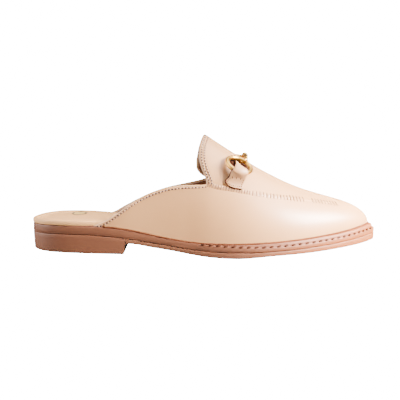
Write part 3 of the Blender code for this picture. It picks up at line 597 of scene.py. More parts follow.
def stitches(name, rows, material, count_of, length, width, height, lean=0.0, lift=0.0, slot=None):
    """One mesh of stitches along several lines of (points, normals), sizes in millimetres.

    count_of gives the number of stitches on a line of a given length."""
    made = []
    for number, (points, normals) in enumerate(rows):
        mesh = bpy.data.meshes.new(name)
        spots = placed(points)
        mesh.from_pydata(spots.tolist(), [(k, k + 1) for k in range(len(spots) - 1)], [])
        skin = mesh.attributes.new("skin_normal", "FLOAT_VECTOR", "POINT")
        skin.data.foreach_set("vector", np.asarray(normals, float).ravel())
        row = bpy.data.objects.new("%s_%d" % (name, number), mesh)
        bpy.context.scene.collection.objects.link(row)
        work = row.modifiers.new("stitch_row", "NODES")
        work.node_group = STITCH_ROW
        run = float(run_of(np.asarray(points, float))[-1])
        sides = -1.0 if number % 2 else 1.0
        values = {"Count": count_of(run), "Length": length * 0.001, "Width": width * 0.001,
                  "Height": height * 0.001, "Lean": lean * sides, "Lift": lift * 0.001,
                  "Material": material}
        for item in STITCH_ROW.interface.items_tree:
            if item.item_type == "SOCKET" and item.in_out == "INPUT" and item.name in values:
                work[item.identifier] = values[item.name]
        row.update_tag()
        bpy.context.view_layer.update()
        shown = row.evaluated_get(bpy.context.evaluated_depsgraph_get())
        made.append(bpy.data.meshes.new_from_object(shown))
        bpy.data.objects.remove(row)
    bm = bmesh.new()
    for mesh in made:
        bm.from_mesh(mesh)
    joined = bpy.data.meshes.new(name)
    bm.to_mesh(joined)
    bm.free()
    joined.materials.append(material)
    obj = bpy.data.objects.new(name, joined)
    bpy.context.scene.collection.objects.link(obj)
    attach(obj, "root")
    return obj


# Welt stitches: short dark slanted threads in the channel between the lip and the edge, from
# the waist round the toe on both sides
WELT_STITCHED = (133.0, 267.0)
WELT_THREAD = hide("welt_thread", srgb(50, 23, 11), srgb(64, 32, 16), 0.85, 0.3, 2500.0,
                   specular=0.1)
# Painted shade: dark brown for the lip line along the upper's foot
LIP_SHADE = hide("lip_shade", srgb(84, 44, 24), srgb(98, 55, 32), 0.85, 0.3, 1500.0, specular=0.1)
welt_rows = []
for side in SIDES:
    spots, ways, run = side_walk(side)
    keep = (spots[:, 0] > WELT_STITCHED[0]) & (spots[:, 0] < WELT_STITCHED[1])
    row_points = []
    row_normals = []
    for (x, y), way, at in zip(spots[keep], ways[keep], run[keep]):
        d = welt_inset(0.5, 0.85)(x, at)
        px, py = np.array((x, y)) + d * way
        row_points.append((px, py, band(0.99, 0.57)(x, at) + 0.05))
        row_normals.append((-0.55 * way[0], -0.55 * way[1], 0.83))
    welt_rows.append((row_points, row_normals))
stitches("welt_stitches", welt_rows, WELT_THREAD, lambda run: int(run / WELT_PITCH) + 1,
         length=3.9, width=1.8, height=2.0, lean=0.3, lift=0.15, slot="sole_tan")

# Footbed: a padded leather sock glued over the midsole, round at the rim, with a pressed
# crease inside it and a dished seat for the heel
FOOTBED_INSET = (
    (-1.0, -0.4), (25.0, -0.4), (38.0, 0.3), (47.0, 1.6), (52.0, 3.4), (56.0, 3.8), (100.0, 3.9),
    (125.0, 4.4), (150.0, 5.3), (180.0, 6.4), (220.0, 7.4), (271.0, 10.6),
)
FOOTBED_THICK = (
    (-1.0, 3.4), (7.0, 4.0), (20.0, 4.3), (60.0, 4.1), (100.0, 3.9), (150.0, 3.7), (200.0, 3.4),
    (271.0, 3.0),
)


def seat_fade(s):
    """How deep the seat is dished at s: fully at the heel, a quarter of it further on."""
    return min(max((70.0 - s) / 40.0, 0.25), 1.0)


def footbed_inset(extra):
    return lambda s, run: sample(FOOTBED_INSET, s) + extra


def footbed_level(rise, seat=0.0):
    return lambda s, run: (sample(MIDSOLE_TOP, s) + LAYER_GAP + rise * sample(FOOTBED_THICK, s)
                           - seat * seat_fade(s))


FOOTBED_LEATHER = hide("footbed_leather", srgb(191, 136, 81), srgb(202, 148, 91), 0.6, 0.2, 1100.0)
footbed = layer("footbed", (
    (footbed_inset(0.5), footbed_level(0.0), None),
    (footbed_inset(0.12), footbed_level(0.06), None),
    (footbed_inset(0.0), footbed_level(0.16), None),
    (footbed_inset(0.0), footbed_level(0.38), None),
    (footbed_inset(0.02), footbed_level(0.56), None),
    (footbed_inset(0.2), footbed_level(0.70), None),
    (footbed_inset(0.5), footbed_level(0.82), None),
    (footbed_inset(0.95), footbed_level(0.91), None),
    (footbed_inset(1.5), footbed_level(0.965), None),
    (footbed_inset(2.1), footbed_level(0.99), None),
    (footbed_inset(2.8), footbed_level(1.0), None),
    (footbed_inset(3.8), footbed_level(1.0, 0.25), None),
    (footbed_inset(4.8), footbed_level(1.0, 0.6), None),
    (footbed_inset(5.6), footbed_level(1.0, 1.1), None),
    (footbed_inset(6.1), footbed_level(1.0, 1.4), None),
    (footbed_inset(6.7), footbed_level(1.0, 1.2), None),
    (footbed_inset(8.0), footbed_level(1.0, 1.1), None),
), FOOTBED_LEATHER, across=20, dish=lambda s, t: -0.6 * seat_fade(s) * 4.0 * t * (1.0 - t))
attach(footbed, "root")
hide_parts("insole")

# Mark on the footbed: a plain oval of pale foil pressed on the seat, with a darker rim line
# and nothing inside it
OVAL_S = 33.0
OVAL_Y = 18.0
OVAL_REACH = (6.2, 8.0)
OVAL_LINE = 1.7
OVAL_RISE = 0.12
OVAL_STEPS = 96


def on_footbed(s, y, rise):
    """Spot on the shown footbed over a plan point, in table millimetres."""
    start = Vector(placed((s, y, 60.0)))
    spot = footbed.ray_cast(start, Vector((0.0, 0.0, -1.0)))[1]
    return (s, y, spot.z * 1000.0 + rise)


FOIL = hide("foil", srgb(186, 148, 80), srgb(200, 162, 94), 0.4, 0.1, 1800.0)
FOIL_RIM = hide("foil_rim", srgb(92, 68, 36), srgb(108, 82, 46), 0.5, 0.1, 1800.0)
oval_points = [on_footbed(OVAL_S, OVAL_Y, OVAL_RISE), on_footbed(OVAL_S, OVAL_Y, -OVAL_RISE)]
oval_faces = []
oval_slots = []
for k in range(OVAL_STEPS):
    angle = 2.0 * math.pi * k / OVAL_STEPS
    for inset, rise in ((OVAL_LINE, OVAL_RISE), (0.0, OVAL_RISE), (0.0, -OVAL_RISE)):
        s = OVAL_S + (OVAL_REACH[0] - inset) * math.cos(angle)
        y = OVAL_Y + (OVAL_REACH[1] - inset) * math.sin(angle)
        oval_points.append(on_footbed(s, y, rise))
    here, ahead = 2 + 3 * k, 2 + 3 * ((k + 1) % OVAL_STEPS)
    oval_faces += [(0, here, ahead), (here, here + 1, ahead + 1, ahead),
                   (here + 1, here + 2, ahead + 2, ahead + 1), (here + 2, 1, ahead + 2)]
    oval_slots += [0, 1, 1, 1]
oval = piece("footbed_oval", oval_points, oval_faces, [FOIL, FOIL_RIM], oval_slots, 30.0)
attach(oval, "root")

# Upper: wings, wall, apron and tongue in one hide drawn over the last. Columns run from the
# feather line up to the ridge; hoops run from the tongue's edge to the toe tip.
FEATHER_INSET = (
    (0.0, 0.9), (60.0, 0.9), (100.0, 1.0), (125.0, 1.5), (150.0, 2.4), (180.0, 3.4),
    (205.0, 3.8), (235.0, 4.3), (258.0, 5.0), (271.0, 5.4),
)
RIDGE = (
    (38.5, 2.0, 93.2), (98.5, 2.4, 94.6), (120.5, 2.8, 93.9), (132.6, 3.2, 90.9),
    (142.0, 3.5, 85.2), (154.8, 3.9, 77.2), (163.9, 4.2, 71.8), (174.0, 4.5, 65.7),
    (186.8, 5.0, 59.1), (199.6, 5.6, 53.1), (212.5, 6.3, 48.3), (225.3, 7.0, 44.6),
    (239.4, 7.8, 40.8), (251.4, 8.4, 37.4),
)
WALL_LEAN = {
    "lateral": ((50.0, 1.0), (80.0, 1.6), (110.0, 2.0), (135.0, 2.0), (160.0, 1.6), (200.0, 1.6),
                (270.0, 1.4)),
    "medial": ((50.0, 1.5), (80.0, 3.6), (110.0, 6.0), (135.0, 5.0), (160.0, 2.6), (200.0, 1.6),
               (270.0, 1.4)),
}
TOPLINE = {
    "lateral": (
        (51.0, 21.6), (55.0, 23.4), (60.6, 26.1), (69.0, 32.0), (77.6, 38.4), (88.0, 44.8), (98.3, 49.2),
        (108.5, 52.1), (120.6, 53.6), (130.2, 54.1), (135.2, 54.8),
    ),
    "medial": (
        (52.6, 22.7), (59.6, 24.6), (69.5, 30.2), (79.4, 35.7), (91.4, 41.6), (104.3, 46.2),
        (118.2, 49.6), (127.2, 51.7), (132.2, 53.1), (135.2, 54.2),
    ),
}
TONGUE = {
    "lateral": (
        (54.8, 135.2), (59.0, 134.7), (62.0, 133.3), (67.0, 131.1), (72.1, 129.6), (76.1, 129.2),
        (82.2, 129.6), (85.7, 130.6), (88.5, 131.6), (91.0, 133.0),
    ),
    "medial": (
        (54.0, 135.2), (56.2, 132.1), (59.1, 129.2), (62.1, 127.2), (68.8, 127.0), (73.2, 127.7),
        (79.1, 128.7), (85.1, 130.4), (88.5, 131.6), (91.0, 133.0),
    ),
}
APRON_SEAM = (
    (133.2, 54.8), (135.2, 54.8), (143.4, 52.9), (151.8, 51.7), (162.8, 49.7), (174.7, 47.7),
    (188.6, 45.6), (202.6, 43.8), (219.5, 41.3), (233.7, 38.9), (243.8, 36.7), (251.5, 34.4),
    (261.5, 30.8),
)
NOTCH_S = 135.2
SPLIT_S = 175.0
SPINE_END_S = 240.0
SEAM_TIP_Z = 34.5
SHARES = np.linspace(0.0, 1.0, 241)
TONGUE_SHARES = np.linspace(0.0, 1.0, 81)
SPINE_RUSH = 0.66
FULLNESS = 0.56
TOE_FULLNESS = 0.05
TOE_FROM_S = 180.0
TOE_RUN = 50.0
SEAM_TURN = 0.7
MEDIAL_DROP = 1.6
DROP_END_S = 200.0
DROP_RUN = 64.0


def unit(value):
    """The value, held between 0 and 1."""
    return min(max(value, 0.0), 1.0)


def feather(side):
    """The upper's foot line on one side: points heel to tip and running length."""
    spots, ways, run = side_walk(side, step=0.5)
    moved = spots + ways * np.array([sample(FEATHER_INSET, s) for s in spots[:, 0]])[:, None]
    length = run_of(moved)
    return moved, length


FEATHER = {side: feather(side) for side in SIDES}


def column(side, s=None, share=None):
    """Four control points of one line up the last, from the feather to the ridge."""
    line, run = FEATHER[side]
    if share is None:
        at = float(np.interp(s, line[:, 0], run))
        top_s = s
    else:
        start = float(np.interp(SPLIT_S, line[:, 0], run))
        at = start + (run[-1] - start) * share
        rush = (1.0 + SPINE_RUSH) * share - SPINE_RUSH * share ** 2
        top_s = SPLIT_S + (SPINE_END_S - SPLIT_S) * rush
    foot = np.array([np.interp(at, run, line[:, 0]), np.interp(at, run, line[:, 1])])
    z0 = sample(MIDSOLE_TOP, foot[0]) + LAYER_GAP
    top = np.array((top_s, sample(RIDGE, top_s, 1), sample(RIDGE, top_s, 2)))
    slope = (sample(RIDGE, top_s + 1.5, 2) - sample(RIDGE, top_s - 1.5, 2)) / 3.0
    dx, dy = foot - top[:2]
    reach = math.hypot(dx, dy)
    height = top[2] + slope * dx - z0
    lean = sample(WALL_LEAN[side], foot[0])
    fullness = FULLNESS + TOE_FULLNESS * unit((foot[0] - TOE_FROM_S) / TOE_RUN)
    p0 = np.array((foot[0], foot[1], z0))
    p1 = p0 + np.array((lean * dx / reach, lean * dy / reach, fullness * height))
    p2 = top + fullness * np.array((dx, dy, slope * dx))
    return np.array((p0, p1, p2, top))


def bezier(points, v):
    """Points on a column at shares v, 0 at the feather and 1 at the ridge."""
    v = np.atleast_1d(np.asarray(v, float))[:, None]
    w = 1.0 - v
    return w ** 3 * points[0] + 3 * w * w * v * points[1] + 3 * w * v * v * points[2] + v ** 3 * points[3]


def share_where(points, height_at):
    """Share up a column at which its height first meets height_at(s)."""
    curve = bezier(points, SHARES)
    over = curve[:, 2] - np.array([height_at(s) for s in curve[:, 0]])
    k = int(np.argmax(over >= 0.0))
    if k == 0:
        return 1.0 if over[-1] < 0.0 else 0.0
    t = over[k - 1] / (over[k - 1] - over[k])
    return SHARES[k - 1] + (SHARES[k] - SHARES[k - 1]) * t


def seam_share(side, points, share=None):
    """Share up a column at which the apron seam crosses it, levelled off round the toe."""
    drop = 0.0 if side == "lateral" else MEDIAL_DROP
    if share is None or share < SEAM_TURN:
        return share_where(points, lambda q: sample(APRON_SEAM, q)
                           - drop * unit((DROP_END_S - q) / DROP_RUN))
    turn = column(side, share=SEAM_TURN)
    at = share_where(turn, lambda q: sample(APRON_SEAM, q))
    z = float(bezier(turn, at)[0, 2])
    b = (share - SEAM_TURN) / (1.0 - SEAM_TURN)
    level = z + (SEAM_TIP_Z - z) * (2.0 * b - b * b)
    return share_where(points, lambda q: level)


# Control points of the columns round the tongue, close enough to be read between
FINE_STEP = 0.5
FINE_S = np.arange(122.0, 178.01, FINE_STEP)
FINE = {side: np.array([column(side, s=s) for s in FINE_S]) for side in FEATHER}


def fine_column(side, s):
    """Control points of a column at s, read between the two nearest of the close ones."""
    k = min(max((s - FINE_S[0]) / FINE_STEP, 0.0), len(FINE_S) - 1.001)
    low = int(k)
    return FINE[side][low] * (1.0 - (k - low)) + FINE[side][low + 1] * (k - low)


def tongue_stations(side):
    """Station of the tongue's back edge at each share up the columns."""
    out = []
    for v in TONGUE_SHARES:
        s = NOTCH_S
        for _ in range(24):
            z = float(bezier(fine_column(side, s), v)[0, 2])
            s = 0.5 * s + 0.5 * sample(TONGUE[side], z)
        out.append(s)
    return np.array(out)


TONGUE_AT = {side: tongue_stations(side) for side in FEATHER}
NEAR_BELOW = (0.0, 0.3, 0.6, 0.9, 1.2, 1.6, 2.0, 2.4, 2.9, 3.5, 4.3, 5.4, 6.8)
NEAR_ABOVE = (0.3, 0.6, 0.9, 1.2, 1.6, 2.0, 2.5, 3.2, 4.2, 5.5, 7.2)
FAR_BELOW = 11
FAR_ABOVE = 14
SEAM_ROW = len(NEAR_BELOW) + FAR_BELOW - 1
TOP_ROW = SEAM_ROW + len(NEAR_ABOVE) + FAR_ABOVE


def spread_rows(near, far_count, reach):
    """Distances of the rows from an edge: close together beside it, even further off."""
    near = np.array(near) * min(1.0, reach / (2.0 * near[-1]))
    far = near[-1] + (reach - near[-1]) * np.arange(1, far_count + 1) / far_count
    return np.concatenate([near, far])


def column_shares(points, v_edge, above):
    """Shares of the rows of one column, the edge or seam row among them."""
    curve = bezier(points, SHARES)
    run = run_of(curve)
    at_edge = float(np.interp(v_edge, SHARES, run))
    lengths = at_edge - spread_rows(NEAR_BELOW, FAR_BELOW, at_edge)[::-1]
    if above:
        upward = spread_rows(NEAR_ABOVE, FAR_ABOVE, run[-1] - at_edge)
        lengths = np.concatenate([lengths, at_edge + upward])
    shares = np.interp(lengths, run, SHARES)
    shares[SEAM_ROW] = v_edge
    if above:
        shares[-1] = 1.0
    return shares


# Hoops of the skin from the tongue's edge to the toe tip, shared by both sides at the ridge
FIRST_STEPS = (0.3, 0.3, 0.3, 0.35, 0.4, 0.4, 0.4, 0.4, 0.4, 0.45, 0.5, 0.5)
HOOP_STEP = 0.6
HOOP_COUNT = 190
WING_COLUMNS = 130
TONGUE_BLEND = 33.0
hoop_list = []
station = NOTCH_S
while station < SPLIT_S - 0.3:
    station_index = len(hoop_list)
    hoop_list.append(("s", station))
    station += FIRST_STEPS[station_index] if station_index < len(FIRST_STEPS) else HOOP_STEP
hoop_list += [("share", k / HOOP_COUNT) for k in range(HOOP_COUNT + 1)]
points = []
grid = {}
for i, (kind, value) in enumerate(hoop_list):
    last = i == len(hoop_list) - 1
    for side in SIDES:
        posts = column(side, s=value) if kind == "s" else column(side, share=value)
        v_seam = seam_share(side, posts, None if kind == "s" else value)
        shares = column_shares(posts, v_seam, True)
        spots = bezier(posts, shares)
        if kind == "s":
            blend = unit((value - NOTCH_S) / TONGUE_BLEND)
            for j in range(SEAM_ROW + 1, TOP_ROW + 1):
                v = shares[j]
                back = (NOTCH_S - np.interp(v, TONGUE_SHARES, TONGUE_AT[side]))
                back *= (1.0 - blend) * min((v - v_seam) / (0.04 * (1.0 - v_seam)), 1.0)
                spots[j] = bezier(fine_column(side, value - back), v)[0]
        for j in range(TOP_ROW + 1):
            if side == "medial" and (last or j == TOP_ROW):
                grid[side, i, j] = grid["lateral", i, j]
                continue
            grid[side, i, j] = len(points)
            points.append(spots[j])
# Columns of the two wings, from the topline's back end to the notch
wings = {}
for side in SIDES:
    start = TOPLINE[side][0][0]
    for i in range(WING_COLUMNS + 1):
        s = start + (NOTCH_S - start) * (i / WING_COLUMNS) ** 1.05
        if i == WING_COLUMNS:
            for j in range(SEAM_ROW + 1):
                wings[side, i, j] = grid[side, 0, j]
            continue
        posts = column(side, s=s)
        v_top = share_where(posts, lambda q: sample(TOPLINE[side], q))
        spots = bezier(posts, column_shares(posts, v_top, False))
        for j in range(SEAM_ROW + 1):
            wings[side, i, j] = len(points)
            points.append(spots[j])
# Quads of the skin, and triangles where the hoops run together
skin_faces = []
for side in SIDES:
    flip = side == "medial"
    for table, columns, rows in ((grid, len(hoop_list), TOP_ROW), (wings, WING_COLUMNS + 1, SEAM_ROW)):
        for i in range(columns - 1):
            for j in range(rows):
                corners = []
                for key in ((i, j), (i + 1, j), (i + 1, j + 1), (i, j + 1)):
                    vert = table[side, key[0], key[1]]
                    if vert not in corners:
                        corners.append(vert)
                skin_faces.append(tuple(corners[::-1] if flip else corners))
skin = np.array(points, float)


def vertex_normals(spots, faces):
    """Unit normals of a grid of quads and triangles, by area."""
    quads = np.array([face if len(face) == 4 else face + (face[2],) for face in faces])
    cross = np.cross(spots[quads[:, 2]] - spots[quads[:, 0]], spots[quads[:, 3]] - spots[quads[:, 1]])
    out = np.zeros_like(spots)
    for k in range(4):
        np.add.at(out, quads[:, k], cross)
    return out / np.maximum(np.linalg.norm(out, axis=1), 1e-12)[:, None]


skin_normals = vertex_normals(skin, skin_faces)
# A spot low on the lateral wall tells whether the normals point outwards
probe = grid["lateral", 60, SEAM_ROW - 12]
if skin_normals[probe][1] > 0.0:
    skin_normals = -skin_normals

# Relief of the hide: the raised gathered seam with its puckers, the stitched grooves beside
# the topline and the tongue's edge, and the folded edges rounded off
SEAM_RISE = 0.32
SEAM_WIDTH = 1.1
TRENCH_DEPTH = 0.10
TRENCH_WIDTH = 0.6
TRENCH_AT = 2.0
PUCKER_RISE = 0.16
PUCKER_GAIN = 0.06
PUCKER_REACH = 1.5
PUCKER_SPREAD_BELOW = 1.6
PUCKER_SPREAD_ABOVE = 0.9
NEAR_PITCH = 2.0
FRONT_PITCH = 2.8
TURN_RUN = 34.0
FADE_RUN = 104.0
SEAM_REST = 81.5
REST_WIDTH = 4.0
FLAT_FROM_SEAM = 12.0
FLAT_FROM_EDGE = 9.0
GROOVE = 2.2
GROOVE_DEPTH = 0.22
GROOVE_WIDTH = 0.45
TONGUE_GROOVES = (1.9, 4.2)
BETWEEN_RISE = 0.12
BINDING_RISE = 0.10
relief = np.zeros(len(skin))
open_edge = np.full(len(skin), 99.0)
seam_length = {}


def pucker_phase(run):
    """Count of stitches along the seam from the notch."""
    if run < TURN_RUN:
        return run / NEAR_PITCH
    return TURN_RUN / NEAR_PITCH + (run - TURN_RUN) / FRONT_PITCH


def bell(x, width):
    return math.exp(-(x / width) ** 2)


for side in SIDES:
    run = 0.0
    edge_run = np.zeros(TOP_ROW + 1)
    for i in range(len(hoop_list)):
        if i:
            a, b = grid[side, i, SEAM_ROW], grid[side, i - 1, SEAM_ROW]
            run += float(np.linalg.norm(skin[a] - skin[b]))
        seam_length[side, i] = run
        ids = [grid[side, i, j] for j in range(TOP_ROW + 1)]
        along = run_of(skin[ids])
        gaps = along - along[SEAM_ROW]
        if i:
            before = [grid[side, i - 1, j] for j in range(TOP_ROW + 1)]
            edge_run = edge_run + np.linalg.norm(skin[ids] - skin[before], axis=1)
        wave = math.cos(2.0 * math.pi * pucker_phase(run))
        wave *= 1.0 - 0.9 * bell(run - SEAM_REST, REST_WIDTH)
        grow = unit((run - TURN_RUN) / 40.0)
        fade = 1.0 - min(unit((run - FADE_RUN) / 12.0), 0.9)
        for j in range(TOP_ROW + 1):
            gap = float(gaps[j])
            vert = ids[j]
            if abs(gap) > FLAT_FROM_SEAM and edge_run[j] > FLAT_FROM_EDGE:
                continue
            h = SEAM_RISE * bell(gap, SEAM_WIDTH) * min(run / 3.0, 1.0) * (0.3 + 0.7 * fade)
            trenches = bell(gap + TRENCH_AT, TRENCH_WIDTH) + bell(gap - TRENCH_AT, TRENCH_WIDTH)
            h -= TRENCH_DEPTH * fade * trenches
            spread = PUCKER_SPREAD_BELOW if gap < 0.0 else PUCKER_SPREAD_ABOVE
            height = (PUCKER_RISE + PUCKER_GAIN * grow) * fade
            h += height * wave * bell(gap, PUCKER_REACH + spread * grow)
            if j > SEAM_ROW:
                edge = float(edge_run[j])
                open_edge[vert] = min(open_edge[vert], edge)
                soft = min((gap / 2.5) ** 2, 1.0)
                for groove in TONGUE_GROOVES:
                    h -= GROOVE_DEPTH * soft * bell(edge - groove, GROOVE_WIDTH)
                h += BETWEEN_RISE * soft * bell(edge - 3.0, 0.8)
            relief[vert] = h
    for i in range(WING_COLUMNS):
        ids = [wings[side, i, j] for j in range(SEAM_ROW + 1)]
        along = run_of(skin[ids])
        for j in range(SEAM_ROW + 1):
            edge = float(along[-1] - along[j])
            open_edge[ids[j]] = min(open_edge[ids[j]], edge)
            relief[ids[j]] = (BINDING_RISE * bell(edge - 1.1, 0.7)
                              - GROOVE_DEPTH * bell(edge - GROOVE, GROOVE_WIDTH))
    open_edge[grid[side, 0, SEAM_ROW]] = 0.0

# Shell of the upper: the shown skin, the lining a wall's thickness inside it, and a rounded,
# painted rim that joins the two round the topline, the tongue and the feather line
BINDING = 1.3
WALL = 1.9
EDGE_THINNING = 0.5
EDGE_ROUND = 0.5
EDGE_ROUND_WIDTH = 0.75
RIM_BULGE = 0.3
rounding = -EDGE_ROUND * np.clip(1.0 - open_edge / EDGE_ROUND_WIDTH, 0.0, 1.0) ** 2
outer = skin + skin_normals * (relief + rounding)[:, None]
wall = WALL - EDGE_THINNING * np.exp(-(open_edge / 2.0) ** 2)
inner = skin - skin_normals * (wall + rounding * 0.6)[:, None]
offset = len(skin)
all_points = [tuple(p) for p in outer] + [tuple(p) for p in inner]
faces = [tuple(face) for face in skin_faces]
face_slots = [0] * len(faces)
faces += [tuple(vert + offset for vert in face[::-1]) for face in skin_faces]
face_slots += [2 if min(open_edge[v] for v in face) < BINDING else 1 for face in skin_faces]
# Edges that only one face has are the rim
edge_use = {}
for face in skin_faces:
    for a, b in zip(face, face[1:] + face[:1]):
        key = (min(a, b), max(a, b))
        edge_use[key] = None if key in edge_use else (a, b)
rim_edges = [pair for pair in edge_use.values() if pair is not None]
rim_mid = {}
rim_out = {}
for a, b in rim_edges:
    way = skin[b] - skin[a]
    for vert in (a, b):
        outward = np.cross(skin_normals[vert], way)
        rim_out[vert] = rim_out.get(vert, np.zeros(3)) + outward / max(np.linalg.norm(outward), 1e-9)
for vert, outward in rim_out.items():
    rim_mid[vert] = outward / max(np.linalg.norm(outward), 1e-9)
# The face beside the first rim edge tells which way the rim bulges
sample_edge = rim_edges[0]
for face in skin_faces:
    if sample_edge[0] in face and sample_edge[1] in face:
        centre = np.mean([skin[v] for v in face], axis=0)
        toward = float(np.dot(centre - skin[sample_edge[0]], rim_mid[sample_edge[0]]))
        break
turn = -1.0 if toward > 0.0 else 1.0
for vert, away in list(rim_mid.items()):
    bulge = RIM_BULGE if open_edge[vert] < 0.5 else 0.0
    middle = 0.5 * (outer[vert] + inner[vert]) + turn * bulge * away
    rim_mid[vert] = len(all_points)
    all_points.append(tuple(middle))
for a, b in rim_edges:
    faces.append((b, a, rim_mid[a], rim_mid[b]))
    face_slots.append(2)
    faces.append((rim_mid[b], rim_mid[a], a + offset, b + offset))
    face_slots.append(2)
UPPER_LEATHER = hide("upper_leather", srgb(179, 125, 77), srgb(188, 135, 87), 0.40, 0.10, 1400.0, 0.08)
LINING = hide("lining_leather", srgb(96, 60, 36), srgb(122, 82, 52), 0.6, 0.2, 900.0)
EDGE_PAINT = hide("edge_paint", srgb(176, 140, 108), srgb(190, 154, 122), 0.6, 0.2, 900.0)
upper = piece("upper_shell", all_points, faces, [UPPER_LEATHER, LINING, EDGE_PAINT], face_slots, 60.0)
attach(upper, "root")
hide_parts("upper")


# Rows of the upper: pricked holes with pale thread between them along the topline and in two
# rows beside the tongue's edge, and the slits between the gathers of the raised seam. The holes
# and slits are small dark marks, painted shade for the hollows
def line_at(ids, distance):
    """Spot and normal of the shown skin at a distance along a run of vertices."""
    spots = outer[ids]
    run = run_of(spots)
    spot = [float(np.interp(distance, run, spots[:, k])) for k in range(3)]
    normal = [float(np.interp(distance, run, skin_normals[ids][:, k])) for k in range(3)]
    return spot, normal


# Painted shade: dark marks standing for the shade inside pricked holes and tack holes
HOLE_SHADE = hide("pricked_hole_shade", srgb(46, 30, 22), srgb(60, 40, 30), 0.8, 0.3, 2600.0)
THREAD = hide("thread", srgb(206, 160, 124), srgb(216, 174, 140), 0.6, 0.3, 2600.0)
# Painted shade: dark marks for the shade in the slits between the seam's gathers
SLIT_SHADE = hide("seam_slit_shade", srgb(88, 58, 38), srgb(106, 72, 48), 0.8, 0.3, 2600.0)
topline_rows = []
for side in SIDES:
    row = []
    for i in range(4, WING_COLUMNS):
        ids = [wings[side, i, j] for j in range(SEAM_ROW, -1, -1)]
        row.append(line_at(ids, GROOVE))
    topline_rows.append(([p for p, n in row], [n for p, n in row]))
tongue_rows = []
for groove in TONGUE_GROOVES:
    for side in SIDES:
        row = []
        for j in range(SEAM_ROW + 4, TOP_ROW - 1):
            ids = [grid[side, i, j] for i in range(0, 30)]
            row.append(line_at(ids, groove))
        tongue_rows.append(([p for p, n in row], [n for p, n in row]))
HOLE_PITCH = 2.55
TONGUE_PITCH = 2.3


def between(rows, pitch):
    """The same rows begun and ended half a step in, so that thread falls between holes."""
    out = []
    for points, normals in rows:
        points, normals = np.asarray(points, float), np.asarray(normals, float)
        run = run_of(points)
        half = 0.5 * run[-1] / int(run[-1] / pitch)
        at = np.linspace(half, run[-1] - half, 240)
        out.append((np.stack([np.interp(at, run, points[:, k]) for k in range(3)], axis=1),
                    np.stack([np.interp(at, run, normals[:, k]) for k in range(3)], axis=1)))
    return out


for name, rows, pitch in (("topline_threads", topline_rows, HOLE_PITCH),
                          ("tongue_threads", tongue_rows, TONGUE_PITCH)):
    stitches(name, between(rows, pitch), THREAD, lambda run: int(run / pitch + 0.01) + 1,
             length=1.5, width=0.9, height=0.9, lift=0.15, slot="upper_leather")
stitches("topline_holes", topline_rows, HOLE_SHADE, lambda run: int(run / HOLE_PITCH) + 1,
         length=1.3, width=1.25, height=1.1, lift=0.2, slot="upper_leather")
stitches("tongue_holes", tongue_rows, HOLE_SHADE, lambda run: int(run / TONGUE_PITCH) + 1,
         length=1.45, width=1.3, height=1.2, lift=0.25, slot="upper_leather")
# The wing tacks are the same dark marks, painted shade
tack_rows = [(points[:4], normals[:4]) for points, normals in topline_rows]
stitches("wing_tacks", tack_rows, HOLE_SHADE, lambda run: 2,
         length=1.8, width=1.4, height=1.2, slot="upper_leather")
# Lip line: a dark cord of overlapping capsules along the upper's foot, painted shade for the shadow under
# the upper's edge
LIP_FROM_S = 58.0
LIP_TUCK = 0.35
lip_rows = []
for side in SIDES:
    spots, ways, run = side_walk(side)
    keep = spots[:, 0] > LIP_FROM_S
    lip_points = []
    lip_normals = []
    for (x, y), way in zip(spots[keep], ways[keep]):
        px, py = np.array((x, y)) + (sample(FEATHER_INSET, x) - LIP_TUCK) * way
        lip_points.append((px, py, sample(MIDSOLE_TOP, x) + LIP_TUCK))
        lip_normals.append((-way[0], -way[1], 0.4))
    lip_rows.append((lip_points, lip_normals))
stitches("lip_shade_line", lip_rows, LIP_SHADE, lambda run: int(run / 1.3) + 1,
         length=3.2, width=1.5, height=1.5, slot="sole_tan")
# The slits are dark marks sunk a little into the seam, painted shade for the gaps between the gathers
# part of the seam, first slit, slits, their pitch, their length across the seam, width
SEAM_SLITS = (
    ("near", 1.0, 17, NEAR_PITCH, 4.2, 0.7),
    ("middle", TURN_RUN + 1.4, 11, FRONT_PITCH, 5.2, 0.65),
    ("front", TURN_RUN + 32.2, 5, FRONT_PITCH, 7.0, 0.6),
    ("toe", TURN_RUN + 51.8, 9, FRONT_PITCH, 6.0, 0.5),
)
for part, low, count, pitch, length, width in SEAM_SLITS:
    seam_rows = []
    for side in SIDES:
        run = [seam_length[side, i] for i in range(len(hoop_list))]
        ids = [grid[side, i, SEAM_ROW] for i in range(len(hoop_list))]
        at = np.linspace(low, low + (count - 1) * pitch, 160)
        seam_rows.append((
            [[float(np.interp(a, run, outer[ids][:, k])) for k in range(3)] for a in at],
            [[float(np.interp(a, run, skin_normals[ids][:, k])) for k in range(3)] for a in at]))
    stitches("seam_slits_" + part, seam_rows, SLIT_SHADE, lambda run: count,
             length, width, height=1.0, lean=math.radians(86.0), lift=-0.05, slot="upper_leather")


# Bit: cast in pale gold metal. On each side a ring of round wire lies on the upper, an eye
# holds it, and a bar runs over the ridge of the tongue to a short barrel link.
def brass():
    """Pale gold metal, its polish broken by faint wear."""
    material = bpy.data.materials.new("bit_metal")
    material.use_nodes = True
    tree = material.node_tree
    shader = tree.nodes["Principled BSDF"]
    shader.inputs["Metallic"].default_value = 1.0
    where = node(tree, "ShaderNodeTexCoord")
    wear = node(tree, "ShaderNodeTexNoise",
                {"Vector": where.outputs["Object"], "Scale": 160.0, "Detail": 4.0})
    gloss = node(tree, "ShaderNodeMapRange",
                 {"Value": wear.outputs["Fac"], "To Min": 0.22, "To Max": 0.36})
    tones = node(tree, "ShaderNodeMix",
                 {"A": srgb(190, 140, 58), "B": srgb(210, 160, 78), "Factor": wear.outputs["Fac"]},
                 data_type="RGBA")
    tree.links.new(gloss.outputs["Result"], shader.inputs["Roughness"])
    tree.links.new(tones.outputs["Result"], shader.inputs["Base Color"])
    return material


